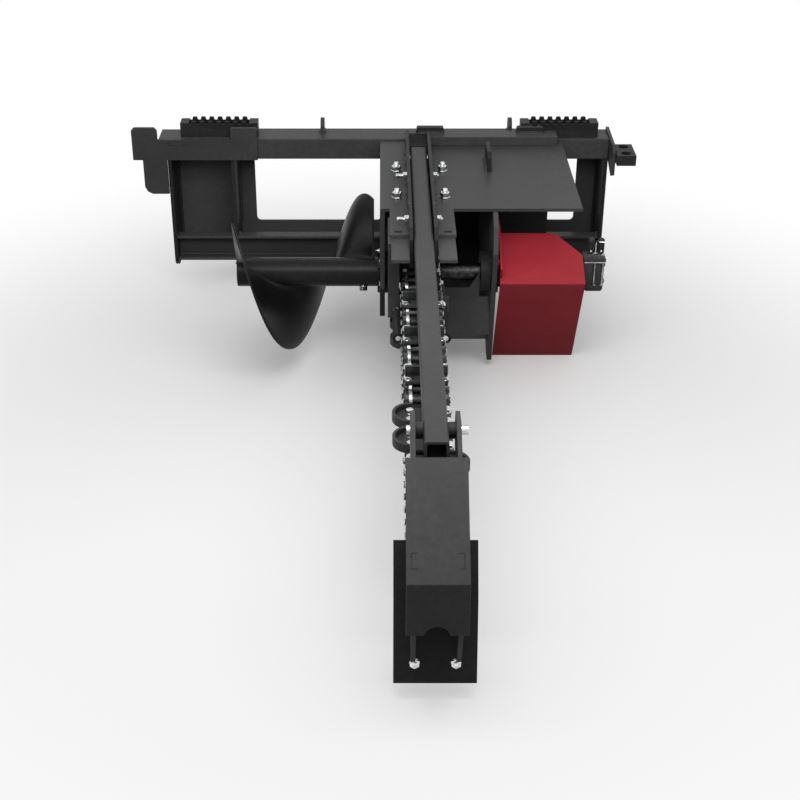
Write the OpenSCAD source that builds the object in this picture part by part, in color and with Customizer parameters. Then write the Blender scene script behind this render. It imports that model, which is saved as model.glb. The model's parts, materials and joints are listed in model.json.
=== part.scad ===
// Skid-steer chain trencher with a spoil auger, a side-shift carriage and a crumber shoe.
// X runs to the right, Y runs back to the loader, Z runs up. All sizes are in millimetres.
// The origin is the centre of the flat face that meets the loader's quick-attach plate.

/* [Mounting frame] */
// Width over the two side plates of the mounting frame
frame_w = 1380; // [1300:10:1450]
// Height of the flat quick-attach face
face_h = 410; // [400:1:420]
// Distance from the quick-attach face to the front of the top rail
frame_d = 146; // [140:1:160]
// Thickness of the back panel
panel_t = 8; // [6:1:10]
// Thickness of the side plates and pocket ribs
side_t = 12; // [10:1:14]
// Height of the top rail tube
rail_h = 66; // [60:1:72]
// Depth of the top rail tube, front to back
rail_d = 96; // [88:1:100]
// Wall of the top rail tube
rail_wall = 9.5; // [8:0.5:12]
// Height of the rail's top above the centre of the quick-attach face
rail_top = 230; // [226:1:236]
// Height of the lower rail channel
channel_h = 84; // [78:1:90]
// Depth of the lower rail channel
channel_d = 40; // [36:1:46]
// Wall of the lower rail channel
channel_wall = 9; // [8:1:10]
// Height of the underside of the lower rail above the bottom of the side plates
foot_h = 18; // [12:1:20]

/* [Steps and lugs] */
// Length of one serrated step
step_w = 241; // [225:2:249]
// Depth of one serrated step
step_d = 50; // [42:1:50]
// Height of one serrated step
step_h = 45; // [40:1:50]
// Distance between the teeth of a step
tooth_pitch = 26; // [24:1:28]
// Thickness of the lug plate and the end plate
lug_t = 10; // [8:1:12]
// Diameter of the two holes in the coupler holder
holder_bore_d = 30; // [26:1:32]

/* [Carriage] */
// Sideways place of the crumber tube from the middle of the frame
boom_x = 92; // [86:1:98]
// Sideways place of the chain and the boom bar from the middle of the frame
chain_x = 86; // [84:1:90]
// Depth of the deck plate, front to back
deck_d = 556; // [520:2:570]
// Thickness of the deck plate and the boom covers
deck_t = 10; // [8:1:11]
// Distance from the tube's centre to the right edge of the deck
deck_right = 449; // [430:1:455]
// Distance from the tube's centre to the outer face of the left housing plate
deck_left = 116; // [114:1:120]
// Thickness of the two housing plates
housing_t = 14; // [12:1:14]
// Distance from the tube's centre to the outer face of the right housing plate
housing_right = 213; // [206:1:220]

/* [Chain and boom] */
// Distance between two chain pins
chain_pitch = 50.8; // [50.8:0.1:50.8]
// Number of chain pitches on each straight run of the boom
run_links = 24; // [22:2:26]
// Number of teeth on the drive sprocket, also the number of links in its full turn
sprocket_teeth = 8; // [8:4:8]
// Diameter of a chain roller
roller_d = 32; // [30:1:33]
// Diameter of a chain pin
pin_d = 16; // [14:1:17]
// Height of a chain side bar
link_h = 44; // [40:1:46]
// Thickness of a chain side bar
link_t = 8; // [6:0.5:8]
// Half the room between the inner side bars
roller_half_w = 34; // [32:0.5:34]
// Width of the boom bar inside the chain
boom_w = 60; // [54:1:60]

/* [Head shaft and auger] */
// Distance from the quick-attach face forward to the head shaft
head_y = 679; // [670:1:690]
// Height of the head shaft above the origin
head_z = 21; // [16:1:26]
// Diameter of the head shaft
shaft_d = 50; // [44:1:54]
// Outer diameter of the auger flight
auger_d = 444; // [420:2:450]
// Outer diameter of the auger pipe
pipe_d = 82; // [76:1:89]
// Length of the auger pipe
auger_len = 404; // [380:2:430]
// Pitch of the auger flight
flight_pitch = 418; // [380:2:440]
// Thickness of the auger flight
flight_t = 6; // [5:0.5:8]

/* [Motor and guard] */
// Diameter of the hydraulic motor's barrel
motor_d = 84; // [76:1:86]
// Height of the motor's end block
motor_block_h = 102; // [96:1:110]
// Depth of the motor's end block, front to back
motor_block_w = 56; // [50:1:64]
// Length of the motor's end block
motor_block_l = 62; // [56:1:66]
// Distance from the right housing plate to the far end of the motor
motor_reach = 311; // [306:1:330]
// Thickness of the sheet of the motor guard
guard_t = 5; // [4:0.5:6]
// Length of the guard's upper panel
guard_top = 182; // [170:1:195]
// Length of the guard's front panel
guard_front = 354; // [330:1:360]

/* [Crumber and shoe] */
// Width of the square crumber tube
tube_w = 50.8; // [48:0.4:54]
// Wall of the crumber tube
tube_wall = 6; // [5:0.5:8]
// Length of the crumber tube
tube_len = 1726; // [1700:2:1760]
// Height of the tube's centre above the origin
tube_z = 220; // [218:1:222]
// Width of the shoe bracket's top plate
bracket_w = 126; // [120:1:132]
// Width of the crumber shoe
shoe_w = 174; // [165:1:180]
// Thickness of the shoe bracket's plates
bracket_t = 8; // [6:1:10]

/* [Hidden] */
$fn = 48;
gap = 0.3;
run_gap = 0.06;
face_half = face_h / 2;
half_w = frame_w / 2;
inner_w = frame_w - 2 * side_t;
rail_back = rail_d - frame_d;
rail_bottom = rail_top - rail_h;
channel_low = -face_half + foot_h + 6;
channel_top = channel_low + channel_h;

window_z = [-98, 140];
window_r = 14;
window_left = [-430, -20];
window_right = [120, 613];

hook_reach = 38;
hook_t = 10;
hook_foot = 3;
flange_reach = 54;
flange_t = 12;
slot_x = 420;
slot_y = 28;
slot_len = 70;
slot_w = 24;
qa_half_w = 575;

rib_x = 486;
lug_left = 106;
lug_rise = 39;
lug_tab_w = 82;
lug_right = -406;
lug_drop_w = 76;
end_plate_front = -229;
holder_w = 58;
holder_l = 107;
holder_h = 32;
holder_top = 216;
holder_spacing = 58;
holder_back = -153;
eye_x = [-205, 384];
eye_h = 42;
eye_r = 24;
eye_hole_r = 10;
eye_y = rail_back - 16;

step_x = [-646, 414];
step_front = -(frame_d - 18);
step_wall = 6;
step_cap = 27;
tooth_rise = 6;
tooth_depth = 10;
tooth_gap = [4, 7];

deck_z = rail_top - 6;
deck_back = -(frame_d + 1);
deck_front = deck_back - deck_d;
slot_half = 38;
cover_half = 86;
cover_wall_in = cover_half - 2;
tongue_half = 89;
cover_front = deck_front - 326;
tongue_front = deck_front - 183;
tongue_slot = [66, 20];
clamp_bolt_x = 68;
clamp_bolt_y = [-407, -619];
ear_t = 10;
ear_in = slot_half - ear_t;
ear_front = -960;
ear_top = 263;
ear_low = 160;
ear_bolt_y = [-508, -834];
ear_bolt_z = ear_top - 16;
ear_ledge = 20;
saddle_x0 = boom_x + slot_half;
beam_x0 = boom_x - slot_half;
beam_front = -155;
saddle_x1 = 523;
saddle_top = 252;
saddle_front = -190;
saddle_back = step_front - 1;
saddle_t = 12;
pad_w = 88;
pad_h = 18;
pad_x = [131, 441];

wall_plate_y = -(frame_d + lug_t + 2);
wall_plate_t = 12;
wall_x0 = boom_x - deck_left;
wall_x1 = 508;
wall_low = channel_low - 10;
guide_w = 90;
guide_x = [40, 400];

housing_l0 = boom_x - deck_left;
housing_r1 = boom_x + housing_right;
housing_r0 = housing_r1 - housing_t;
bearing_d = 120;
bearing_w = 30;
bearing_bolt_r = 53;

cover_wall_t = 10;
cover_wall = [-head_y - bearing_d / 2 - 4, -925];
cover_wall_low = 0;
cover_lip_w = [40, 30];
cover_lip_z = [58, 66];

pitch_r = chain_pitch / (2 * sin(180 / sprocket_teeth));
run_len = run_links * chain_pitch;
turn_links = sprocket_teeth / 2;
chain_links = 2 * run_links + 2 * turn_links;
head_c = [-head_y, head_z];
nose_c = [-head_y - run_len, head_z];
bushing_d = roller_d - 7;
tooth_over = 2.5;
inner_out = roller_half_w + link_t;
outer_in = inner_out + gap;
outer_out = outer_in + link_t;
pin_half = outer_out + 4;
waist_r = 20;
waist_half = 12;

strip_t = 8;
strip_top = pitch_r - roller_d / 2 - gap;
bar_top = strip_top - strip_t;
bar_back = -head_y - pitch_r - 45;
bar_front = nose_c[0] + pitch_r + 12;
fork_t = 8;
nose_axle_d = 30;
nose_roller_r = pitch_r - roller_d / 2 - gap;

gusset_x = 146;
gusset_t = 10;
chute_y = -712;
chute_t = 8;
chute_low = -159;
chute_top = -12;
belly_x0 = boom_x + 80;
belly_back = [wall_plate_y - wall_plate_t, -90];
belly_front = [-600, -235];
adjuster_x = 62;
adjuster_d = 28;
adjuster_y = [-960, -1112];
adjuster_z = head_z + 7;
adjuster_rod_d = 14;
adjuster_lug = [-1060, -1100];
adjuster_nut = [-958, -940];
gusset_lug_w = 26;
gusset_lug_z = [8, 46];
cross_pin_d = 26;
cross_pin_y = [bar_back - 30, bar_back - 82];

auger_right = boom_x - deck_left - 2;
auger_left = auger_right - auger_len;
flight_phase = 240.4;
flight_phase_x = -289.2;
flight_steps = 48;

motor_x1 = housing_r1 + motor_reach;
motor_x0 = motor_x1 - motor_block_l;
port_d = 20;
port_h = 53;
port_x = [20, 49];
guard_x0 = housing_r1 + 8;
guard_x1 = 552;
guard_bend = [-776, 28];
guard_tilt = 28;
guard_chamfer = [74, 80];

tube_back = -263;
tube_pin_y = tube_back - 26;
tube_pin_d = 20;
tube_front = tube_back - tube_len;
shoe_pin_y = tube_front + 91;
shoe_pin_d = 20;
side_in = 42;
bracket_side_t = 10;
bracket_back = [tube_front - 5.5, tube_z - 7];
bracket_bend = bracket_back - [202, 166];
bracket_low = bracket_bend[1] - 125;
shoe_top = bracket_bend + [167, -11];
shoe_crease = shoe_top - [66, 104];
shoe_low = shoe_crease - [46, 179];
shoe_t = 10;

black = "#3a3b3d";
dark = "#232426";
red = "#9c2f38";
zinc = "#d9dadb";
steel = "#8d8f92";

// A box between two corners.
module block(low, high) {
    translate(low) cube(high - low);
}

// A flat outline given in Y and Z, with its thickness along X from x0 to x1.
module yz_plate(x0, x1) {
    translate([x0, 0, 0]) rotate([90, 0, 90]) linear_extrude(x1 - x0) children();
}

// A flat outline given in X and Z, with its thickness along Y from y0 to y1.
module xz_plate(y0, y1) {
    translate([0, y1, 0]) rotate([90, 0, 0]) linear_extrude(y1 - y0) children();
}

// A round bar along X.
module x_bar(x0, x1, d, y = 0, z = 0) {
    translate([x0, y, z]) rotate([0, 90, 0]) cylinder(h = x1 - x0, d = d);
}

// A round bar along Y.
module y_bar(y0, y1, d, x = 0, z = 0) {
    translate([x, y1, z]) rotate([90, 0, 0]) cylinder(h = y1 - y0, d = d);
}

// A rectangle with round corners between two corners.
module round_rect(low, high, r) {
    translate([low[0] + r, low[1]]) square([high[0] - low[0] - 2 * r, high[1] - low[1]]);
    translate([low[0], low[1] + r]) square([high[0] - low[0], high[1] - low[1] - 2 * r]);
    for (x = [low[0] + r, high[0] - r], y = [low[1] + r, high[1] - r])
        translate([x, y]) circle(r);
}

// A hexagon bolt head or nut lying on a face, its axis along +Z.
module hex_head(af, h) {
    cylinder(h = h, d = af / cos(30), $fn = 6);
}

// Mounting frame
module back_panel() {
    color(black) xz_plate(-panel_t, 0) difference() {
        translate([-inner_w / 2, -face_half]) square([inner_w, face_h - hook_foot]);
        for (w = [window_left, window_right])
            round_rect([w[0], window_z[0]], [w[1], window_z[1]], window_r);
    }
}

module top_rail() {
    color(black) difference() {
        block([-half_w - 25, -frame_d, rail_bottom], [half_w, rail_back, rail_top]);
        block([-half_w - 26, rail_wall - frame_d, rail_bottom + rail_wall],
            [half_w + 1, rail_back - rail_wall, rail_top - rail_wall]);
    }
}

module lower_rail() {
    front = -frame_d;
    color(black) yz_plate(-inner_w / 2, inner_w / 2) difference() {
        translate([front, channel_low]) square([channel_d, channel_h]);
        translate([front - 1, channel_low + channel_wall])
            square([channel_d - channel_wall + 1, channel_h - 2 * channel_wall]);
    }
}

// Outline of a side plate: under the rail in front, up to the rail's top behind it.
module side_outline() {
    r = 34;
    translate([-frame_d + r, -face_half]) square([frame_d - r, rail_bottom + face_half]);
    translate([-frame_d, -face_half + r]) square([r, rail_bottom + face_half - r]);
    translate([-frame_d + r, -face_half + r]) circle(r);
    translate([rail_back, rail_bottom]) square([-rail_back, face_half - rail_bottom]);
}

module side_plate_left() {
    color(black) yz_plate(-half_w, -half_w + side_t) side_outline();
}

module side_plate_right() {
    color(black) yz_plate(half_w - side_t, half_w) side_outline();
}

// A pocket rib passes round the lower rail and meets the back panel.
module pocket_rib(x) {
    color(black) yz_plate(x - side_t / 2, x + side_t / 2) difference() {
        translate([-frame_d, -face_half]) square([frame_d - panel_t, rail_bottom + face_half]);
        translate([-frame_d - 1, channel_low]) square([channel_d + 1, channel_h]);
    }
}

module pocket_rib_left() {
    pocket_rib(-rib_x);
}

module pocket_rib_right() {
    pocket_rib(rib_x);
}

// The hook points back and down at 45 degrees over the loader's plate.
module quick_attach_hook() {
    rise = hook_t * sin(45);
    color(black) yz_plate(-qa_half_w, qa_half_w) polygon([
        [0, face_half - hook_foot],
        [0, face_half],
        [hook_reach, face_half - hook_reach],
        [hook_reach + rise, face_half - hook_reach + rise],
        [rise, face_half + rise],
        [-panel_t, face_half + rise],
        [-panel_t, face_half - hook_foot]
    ]);
}

module quick_attach_flange() {
    color(black) difference() {
        block([-qa_half_w, -panel_t, -face_half - flange_t], [qa_half_w, flange_reach, -face_half]);
        for (s = [-1, 1]) translate([s * slot_x, slot_y, -face_half - flange_t - 1]) {
            block([-(slot_len - slot_w) / 2, -slot_w / 2, 0],
                [(slot_len - slot_w) / 2, slot_w / 2, flange_t + 2]);
            for (e = [-1, 1]) translate([e * (slot_len - slot_w) / 2, 0, 0])
                cylinder(h = flange_t + 2, d = slot_w);
        }
    }
}

// One serrated wall of a step, with cut gaps between its teeth.
module step_wall_outline() {
    floor_half = tooth_gap[0];
    mouth_half = tooth_gap[1];
    teeth = floor((step_w - 2 * step_cap) / tooth_pitch);
    first = (step_w - (teeth - 1) * tooth_pitch) / 2;
    top = step_h + tooth_rise;
    difference() {
        translate([step_cap, 0]) square([step_w - 2 * step_cap, top]);
        for (i = [0 : teeth]) translate([first + (i - 0.5) * tooth_pitch, top])
            polygon([[-mouth_half, 1], [-floor_half, -tooth_depth], [floor_half, -tooth_depth],
                [mouth_half, 1]]);
    }
}

module step(x) {
    color(dark) translate([x, step_front, rail_top]) {
        for (y = [0, step_d - step_wall]) translate([0, y + step_wall, 0]) rotate([90, 0, 0])
            linear_extrude(step_wall) step_wall_outline();
        block([0, step_wall, 0], [step_w, step_d - step_wall, step_wall]);
        for (e = [0, step_w - step_cap]) block([e, 0, 0], [e + step_cap, step_d, step_h]);
    }
}

module step_left() {
    step(step_x[0]);
}

module step_right() {
    step(step_x[1]);
}

// The lug plate covers the rail's front and carries the ear, the lower lug and the tab.
module lug_plate_left() {
    c = 9;
    left = -half_w - lug_left;
    ear_right = left + 80;
    low_left = left + 30;
    low_right = -half_w;
    low = 52;
    color(black) xz_plate(-frame_d - lug_t, -frame_d) polygon([
        [left + c, rail_top + lug_rise], [ear_right - c, rail_top + lug_rise],
        [ear_right, rail_top + lug_rise - c], [ear_right, rail_top],
        [lug_right - lug_tab_w, rail_top], [lug_right - lug_tab_w, rail_top + lug_rise - 4],
        [lug_right - lug_tab_w + 4, rail_top + lug_rise], [lug_right - 4, rail_top + lug_rise],
        [lug_right, rail_top + lug_rise - 4], [lug_right, rail_bottom],
        [low_right, rail_bottom], [low_right, low], [low_left + 24, low],
        [low_left + 8, low + 8], [low_left, low + 24], [low_left, rail_bottom],
        [left, rail_bottom], [left, rail_top + lug_rise - c]
    ]);
}

module end_plate_right() {
    color(black) yz_plate(half_w, half_w + lug_t) polygon([
        [rail_back, rail_top + 8], [end_plate_front + 20, rail_top + 2],
        [end_plate_front, rail_top - 14], [end_plate_front, rail_top - 88],
        [end_plate_front + 18, rail_top - 96], [-frame_d + 20, rail_bottom], [rail_back, rail_bottom]
    ]);
}

module coupler_holder() {
    x0 = half_w + lug_t;
    color(dark) difference() {
        block([x0, holder_back - holder_l, holder_top - holder_h],
            [x0 + holder_w, holder_back, holder_top]);
        for (s = [-1, 1]) translate([x0 + holder_w / 2,
            holder_back - holder_l / 2 + s * holder_spacing / 2, holder_top - holder_h - 1])
            cylinder(h = holder_h + 2, d = holder_bore_d);
    }
}

// Each eye stands on the rail's back edge, so that a pin passes behind the steps.
module lifting_eyes() {
    color(black) for (x = eye_x) yz_plate(x - 6, x + 6) difference() {
        union() {
            translate([eye_y - eye_r, rail_top]) square([rail_back - eye_y + eye_r, eye_h - eye_r]);
            intersection() {
                translate([eye_y, rail_top + eye_h - eye_r]) circle(eye_r);
                translate([eye_y - eye_r, rail_top]) square([2 * eye_r, eye_h]);
            }
        }
        translate([eye_y, rail_top + eye_h - eye_r]) circle(eye_hole_r);
    }
}

// Carriage
module carriage_plate() {
    color(dark) block([wall_x0, wall_plate_y - wall_plate_t, wall_low],
        [wall_x1, wall_plate_y, deck_z - deck_t]);
}

// The saddle hangs the carriage on the front strip of the top rail.
module saddle() {
    color(black) union() {
        yz_plate(saddle_x0, saddle_x1) {
            translate([saddle_front, saddle_top - saddle_t])
                square([saddle_back - saddle_front, saddle_t]);
            translate([saddle_front, deck_z]) square([saddle_t, saddle_top - deck_z]);
        }
        block([beam_x0, beam_front, rail_top + gap], [saddle_x1, saddle_back, saddle_top]);
        block([beam_x0, beam_front, deck_z], [saddle_x1, deck_back, rail_top + gap]);
    }
}

module stop_pads() {
    c = 4;
    color(dark) for (x = pad_x) xz_plate(beam_front, saddle_back - 4) polygon([
        [x - pad_w / 2, saddle_top], [x + pad_w / 2, saddle_top],
        [x + pad_w / 2, saddle_top + c], [x + pad_w / 2 - c, saddle_top + pad_h],
        [x - pad_w / 2 + c, saddle_top + pad_h], [x - pad_w / 2, saddle_top + c]
    ]);
}

// Two guides run inside the lower rail channel.
module lower_guides() {
    color("#e8e6df") for (x = guide_x)
        block([x, wall_plate_y, channel_low + channel_wall + gap],
            [x + guide_w, -frame_d + channel_d - channel_wall - 3,
            channel_top - channel_wall - gap]);
}

// The deck has an open slot for the boom ears and a tongue on each side of it.
module deck_plate() {
    left = boom_x - deck_left;
    right = boom_x + deck_right;
    color(black) difference() {
        union() {
            block([left, deck_front, deck_z - deck_t], [right, deck_back, deck_z]);
            block([boom_x - tongue_half, tongue_front, deck_z - deck_t],
                [boom_x + tongue_half, deck_front, deck_z]);
        }
        block([boom_x - slot_half, tongue_front - 1, deck_z - deck_t - 1],
            [boom_x + slot_half, saddle_front, deck_z + 1]);
        for (s = [-1, 1]) translate([boom_x + s * tongue_slot[0], tongue_front + tongue_slot[1],
            deck_z - deck_t - 1]) block([-10, -6, 0], [10, 6, deck_t + 2]);
    }
}

module deck_lug() {
    y0 = -415;
    y1 = -297;
    h = 56;
    r = 20;
    color(dark) yz_plate(292, 304) difference() {
        union() {
            translate([y0, deck_z]) square([y1 - y0, h - r]);
            translate([y0 + r, deck_z]) square([y1 - y0 - 2 * r, h]);
            for (y = [y0 + r, y1 - r]) translate([y, deck_z + h - r]) circle(r);
        }
        translate([(y0 + y1) / 2, deck_z + h - 24]) circle(13);
    }
}

// The left housing plate carries the left bearing.
module housing_plate_left() {
    color(dark) difference() {
        yz_plate(housing_l0, housing_l0 + housing_t) polygon([
            [wall_plate_y - wall_plate_t, deck_z - deck_t], [wall_plate_y - wall_plate_t, -60],
            [-480, -100], [-620, -100], [-860, -31], [-880, -20], [-880, 60], [-840, 110],
            [deck_front, deck_z - deck_t]
        ]);
        x_bar(housing_l0 - 1, housing_l0 + housing_t + 1, bearing_d * 0.6, -head_y, head_z);
    }
}

// The right housing plate slopes back to a narrow foot.
module housing_plate_right() {
    color(dark) difference() {
        yz_plate(housing_r0, housing_r1) polygon([
            [wall_plate_y - wall_plate_t, deck_z - deck_t], [wall_plate_y - wall_plate_t, -90],
            [-600, -235], [-640, -262], [-684, -262], [-776, 116], [-750, 190],
            [deck_front, deck_z - deck_t]
        ]);
        x_bar(housing_r0 - 1, housing_r1 + 1, bearing_d * 0.6, -head_y, head_z);
    }
}

// One ear beside the crumber tube, bored for its pin, with a ledge that the tube rests on.
module boom_ear(side) {
    x0 = side > 0 ? boom_x + ear_in : boom_x - slot_half;
    color(black) difference() {
        yz_plate(x0, x0 + ear_t) polygon([
            [saddle_front, deck_z], [beam_front, deck_z], [beam_front, ear_top],
            [ear_front + 30, ear_top], [ear_front, ear_top - 24], [ear_front, ear_low],
            [saddle_front, ear_low]
        ]);
        x_bar(x0 - 1, x0 + ear_t + 1, tube_pin_d + gap, tube_pin_y, tube_z);
        for (y = ear_bolt_y) x_bar(x0 - 1, x0 + ear_t + 1, 13, y, ear_bolt_z);
    }
    ledge_x = side > 0 ? x0 - ear_ledge : x0 + ear_t;
    color(black) block([ledge_x, ear_front + 20, ear_low],
        [ledge_x + ear_ledge, ear_front + 60, tube_z - tube_w / 2 - gap]);
}

module boom_ear_left() {
    boom_ear(-1);
}

module boom_ear_right() {
    boom_ear(1);
}

// The left cover runs on under the deck's tongue and turns down into a wall with a front lip.
module boom_cover_left() {
    low = deck_z - 2 * deck_t;
    outer = boom_x - cover_wall_in - cover_wall_t;
    color(black) {
        block([boom_x - cover_half, cover_front, low], [boom_x - slot_half, deck_front - 2, low + deck_t]);
        block([outer, cover_wall[1], cover_wall_low],
            [outer + cover_wall_t, cover_wall[0], low + deck_t]);
        xz_plate(cover_wall[1] - 8, cover_wall[1]) difference() {
            polygon([
                [outer, cover_wall_low], [outer + cover_lip_w[0], cover_wall_low],
                [outer + cover_lip_w[0], cover_lip_z[0]], [outer + cover_lip_w[1], cover_lip_z[1]],
                [outer + cover_lip_w[1], low], [outer, low]
            ]);
            translate([chain_x - adjuster_x, adjuster_z]) circle(d = adjuster_rod_d + 2 * gap);
        }
    }
}

// The right cover is a plate under the other side of the tongue.
module boom_cover_right() {
    low = deck_z - 2 * deck_t;
    color(black) block([boom_x + slot_half, cover_front, low],
        [boom_x + cover_half, deck_front - 2, low + deck_t]);
}

module clamp_bolts() {
    color(zinc) for (s = [-1, 1], y = clamp_bolt_y)
        translate([boom_x + s * clamp_bolt_x, y, deck_z]) {
            cylinder(h = 3, d = 30);
            translate([0, 0, 3]) hex_head(24, 13);
            cylinder(h = 26, d = 16);
        }
}

module ear_bolts() {
    color(zinc) for (s = [-1, 1], y = ear_bolt_y)
        translate([boom_x + s * slot_half, y, ear_bolt_z]) rotate([0, s * 90, 0]) {
            hex_head(19, 12);
            translate([0, 0, -ear_t]) cylinder(h = ear_t + (s < 0 ? 32 : 16), d = 12.6);
        }
}

// The chute plate turns spoil to the auger. A belly plate closes the room behind it from below,
// and the gusset holds the bar's cross pins and a lug for the right tension rod.
module chute_plate() {
    x0 = gusset_x;
    lug_x = gusset_x + gusset_t / 2 - gusset_lug_w / 2;
    gusset_front = cross_pin_y[1] - 20;
    belly_up = chute_t * back_normal(belly_back - belly_front);
    color(dark) {
        xz_plate(chute_y - chute_t, chute_y) difference() {
            polygon([
                [belly_x0, chute_low], [housing_r0, chute_low], [housing_r0, 89],
                [x0 + 84, chute_top], [x0, chute_top], [x0, -60], [belly_x0, -60]
            ]);
            translate([housing_r0 - bearing_w - 2, head_z - bearing_d / 2])
                square([bearing_w + 3, bearing_d + 20]);
        }
        yz_plate(belly_x0, housing_r0) polygon([
            belly_back, belly_back - belly_up, belly_front - belly_up,
            [chute_y, chute_low + 2 * chute_t], [chute_y, chute_low], belly_front
        ]);
        difference() {
            union() {
                yz_plate(x0, x0 + gusset_t) polygon([
                    [chute_y - chute_t, -56], [chute_y - chute_t, chute_top], [-790, 34],
                    [gusset_front, 34], [gusset_front, 8], [-800, 8]
                ]);
                block([lug_x, gusset_front - chute_t, gusset_lug_z[0]],
                    [lug_x + gusset_lug_w, gusset_front, gusset_lug_z[1]]);
            }
            y_bar(gusset_front - chute_t - 1, gusset_front + 3, adjuster_rod_d + 2 * gap,
                chain_x + adjuster_x, adjuster_z);
        }
    }
}

// The bar hangs between the left wall and the gusset on two cross pins inside the chain loop.
module boom_bar() {
    w = boom_w / 2;
    color(dark) union() {
        difference() {
            block([chain_x - w, bar_front, head_z - bar_top], [chain_x + w, bar_back, head_z + bar_top]);
            block([chain_x - w + 8, bar_front - 1, head_z - bar_top + 8],
                [chain_x + w - 8, bar_back + 1, head_z + bar_top - 8]);
        }
        for (y = cross_pin_y) {
            x_bar(boom_x - cover_wall_in, chain_x - w, cross_pin_d, y, head_z);
            x_bar(chain_x + w, gusset_x, cross_pin_d, y, head_z);
        }
    }
}

module wear_strips() {
    color(steel) for (s = [-1, 1])
        block([chain_x - roller_half_w + 3, bar_front, head_z + (s > 0 ? bar_top : -strip_top)],
            [chain_x + roller_half_w - 3, bar_back, head_z + (s > 0 ? strip_top : -bar_top)]);
}

// The nose fork holds the axle in front of the bar.
module nose_fork() {
    w = boom_w / 2 - 8;
    h = bar_top - 8;
    color(dark) difference() {
        for (s = [-1, 1]) yz_plate(chain_x + (s > 0 ? w - fork_t : -w), chain_x + (s > 0 ? w : fork_t - w))
            union() {
                translate([nose_c[0], head_z - h]) square([bar_front + 60 - nose_c[0], 2 * h]);
                translate([nose_c[0], head_z]) circle(h);
            }
        x_bar(chain_x - w - 1, chain_x + w + 1, nose_axle_d, nose_c[0], head_z);
    }
}

module nose_axle() {
    w = boom_w / 2 - 8;
    color(steel) x_bar(chain_x - w, chain_x + w, nose_axle_d - 2 * run_gap, nose_c[0], head_z);
}

// A tube on each side of the bar takes the rod that pushes the bar and its nose forward.
module tension_tubes() {
    lug = adjuster_x - boom_w / 2;
    color(dark) for (s = [-1, 1]) translate([chain_x + s * adjuster_x, 0, 0]) difference() {
        union() {
            y_bar(adjuster_y[1], adjuster_y[0], adjuster_d, 0, adjuster_z);
            block([s > 0 ? -lug : 0, adjuster_lug[1], adjuster_z - 9],
                [s > 0 ? 0 : lug, adjuster_lug[0], adjuster_z + 9]);
        }
        y_bar(adjuster_y[1] - 1, adjuster_y[0] + 1, adjuster_rod_d + 2 * gap, 0, adjuster_z);
    }
}

// Each rod runs from its tube back through the cover's lip or the gusset's lug.
module tension_rods() {
    rod_back = [cover_wall[1] + 16, cross_pin_y[1] - 20 - gap];
    color(zinc) for (k = [0, 1]) translate([chain_x + (2 * k - 1) * adjuster_x, 0, adjuster_z]) {
        y_bar(adjuster_y[1] + 1, rod_back[k], adjuster_rod_d);
        translate([0, adjuster_nut[1], 0]) rotate([90, 0, 0])
            hex_head(24, adjuster_nut[1] - adjuster_nut[0]);
        if (k == 0) translate([0, cover_wall[1] + 12, 0]) rotate([90, 0, 0]) hex_head(24, 12);
    }
}

// Place and direction of chain pin i, counted from the top of the head sprocket.
function pin_place(i) =
    i <= run_links ? [-head_y - i * chain_pitch, head_z + pitch_r, 180] :
    i <= run_links + turn_links ? turn_place(nose_c, i - run_links, 90) :
    i <= 2 * run_links + turn_links ?
        [nose_c[0] + (i - run_links - turn_links) * chain_pitch, head_z - pitch_r, 0] :
        turn_place(head_c, i - 2 * run_links - turn_links, 270);

// A pin on a half turn about centre c.
function turn_place(c, k, start) =
    let (a = start + k * 360 / sprocket_teeth)
    [c[0] + pitch_r * cos(a), c[1] + pitch_r * sin(a), a + 90];

// Moves its children to link i: pin at the origin, next pin on +X, outside on -Y.
module on_link(i) {
    p = pin_place(i);
    q = pin_place(i + 1);
    a = atan2(q[1] - p[1], q[0] - p[0]);
    translate([chain_x, p[0], p[1]]) rotate([90, 0, 90]) rotate([0, 0, a]) children();
}

// Side bar outline between two pins, straight or waisted like a figure of eight.
module bar_outline(h, waisted) {
    difference() {
        translate([0, -h / 2]) square([chain_pitch, h]);
        if (waisted) for (s = [-1, 1])
            translate([chain_pitch / 2, s * (waist_half + waist_r)]) circle(waist_r, $fn = 32);
    }
    for (x = [0, chain_pitch]) translate([x, 0]) circle(d = h, $fn = 24);
}

module side_bars(inside, waisted) {
    for (s = [-1, 1]) translate([0, 0, s > 0 ? inside : -inside - link_t])
        linear_extrude(link_t) bar_outline(link_h, waisted);
}

module chain_inner_links() {
    color(steel) for (i = [0 : 2 : chain_links - 1]) on_link(i) difference() {
        union() {
            side_bars(roller_half_w, true);
            for (x = [0, chain_pitch]) translate([x, 0, -roller_half_w])
                cylinder(h = 2 * roller_half_w, d = bushing_d);
        }
        for (x = [0, chain_pitch]) translate([x, 0, -inner_out - 1])
            cylinder(h = 2 * inner_out + 2, d = pin_d + 2 * gap);
    }
}

module chain_outer_links() {
    color(steel) for (i = [1 : 2 : chain_links - 1]) on_link(i) union() {
        side_bars(outer_in, len(search(i, cutter_links)) == 0);
        for (x = [0, chain_pitch]) translate([x, 0, -pin_half])
            cylinder(h = 2 * pin_half, d = pin_d);
    }
}

module chain_rollers() {
    color(zinc) for (i = [0 : chain_links - 1]) {
        p = pin_place(i);
        translate([chain_x - roller_half_w + 1, p[0], p[1]]) rotate([0, 90, 0]) difference() {
            cylinder(h = 2 * roller_half_w - 2, d = roller_d);
            translate([0, 0, -1]) cylinder(h = 2 * roller_half_w, d = bushing_d + 2 * gap);
        }
    }
}

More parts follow.
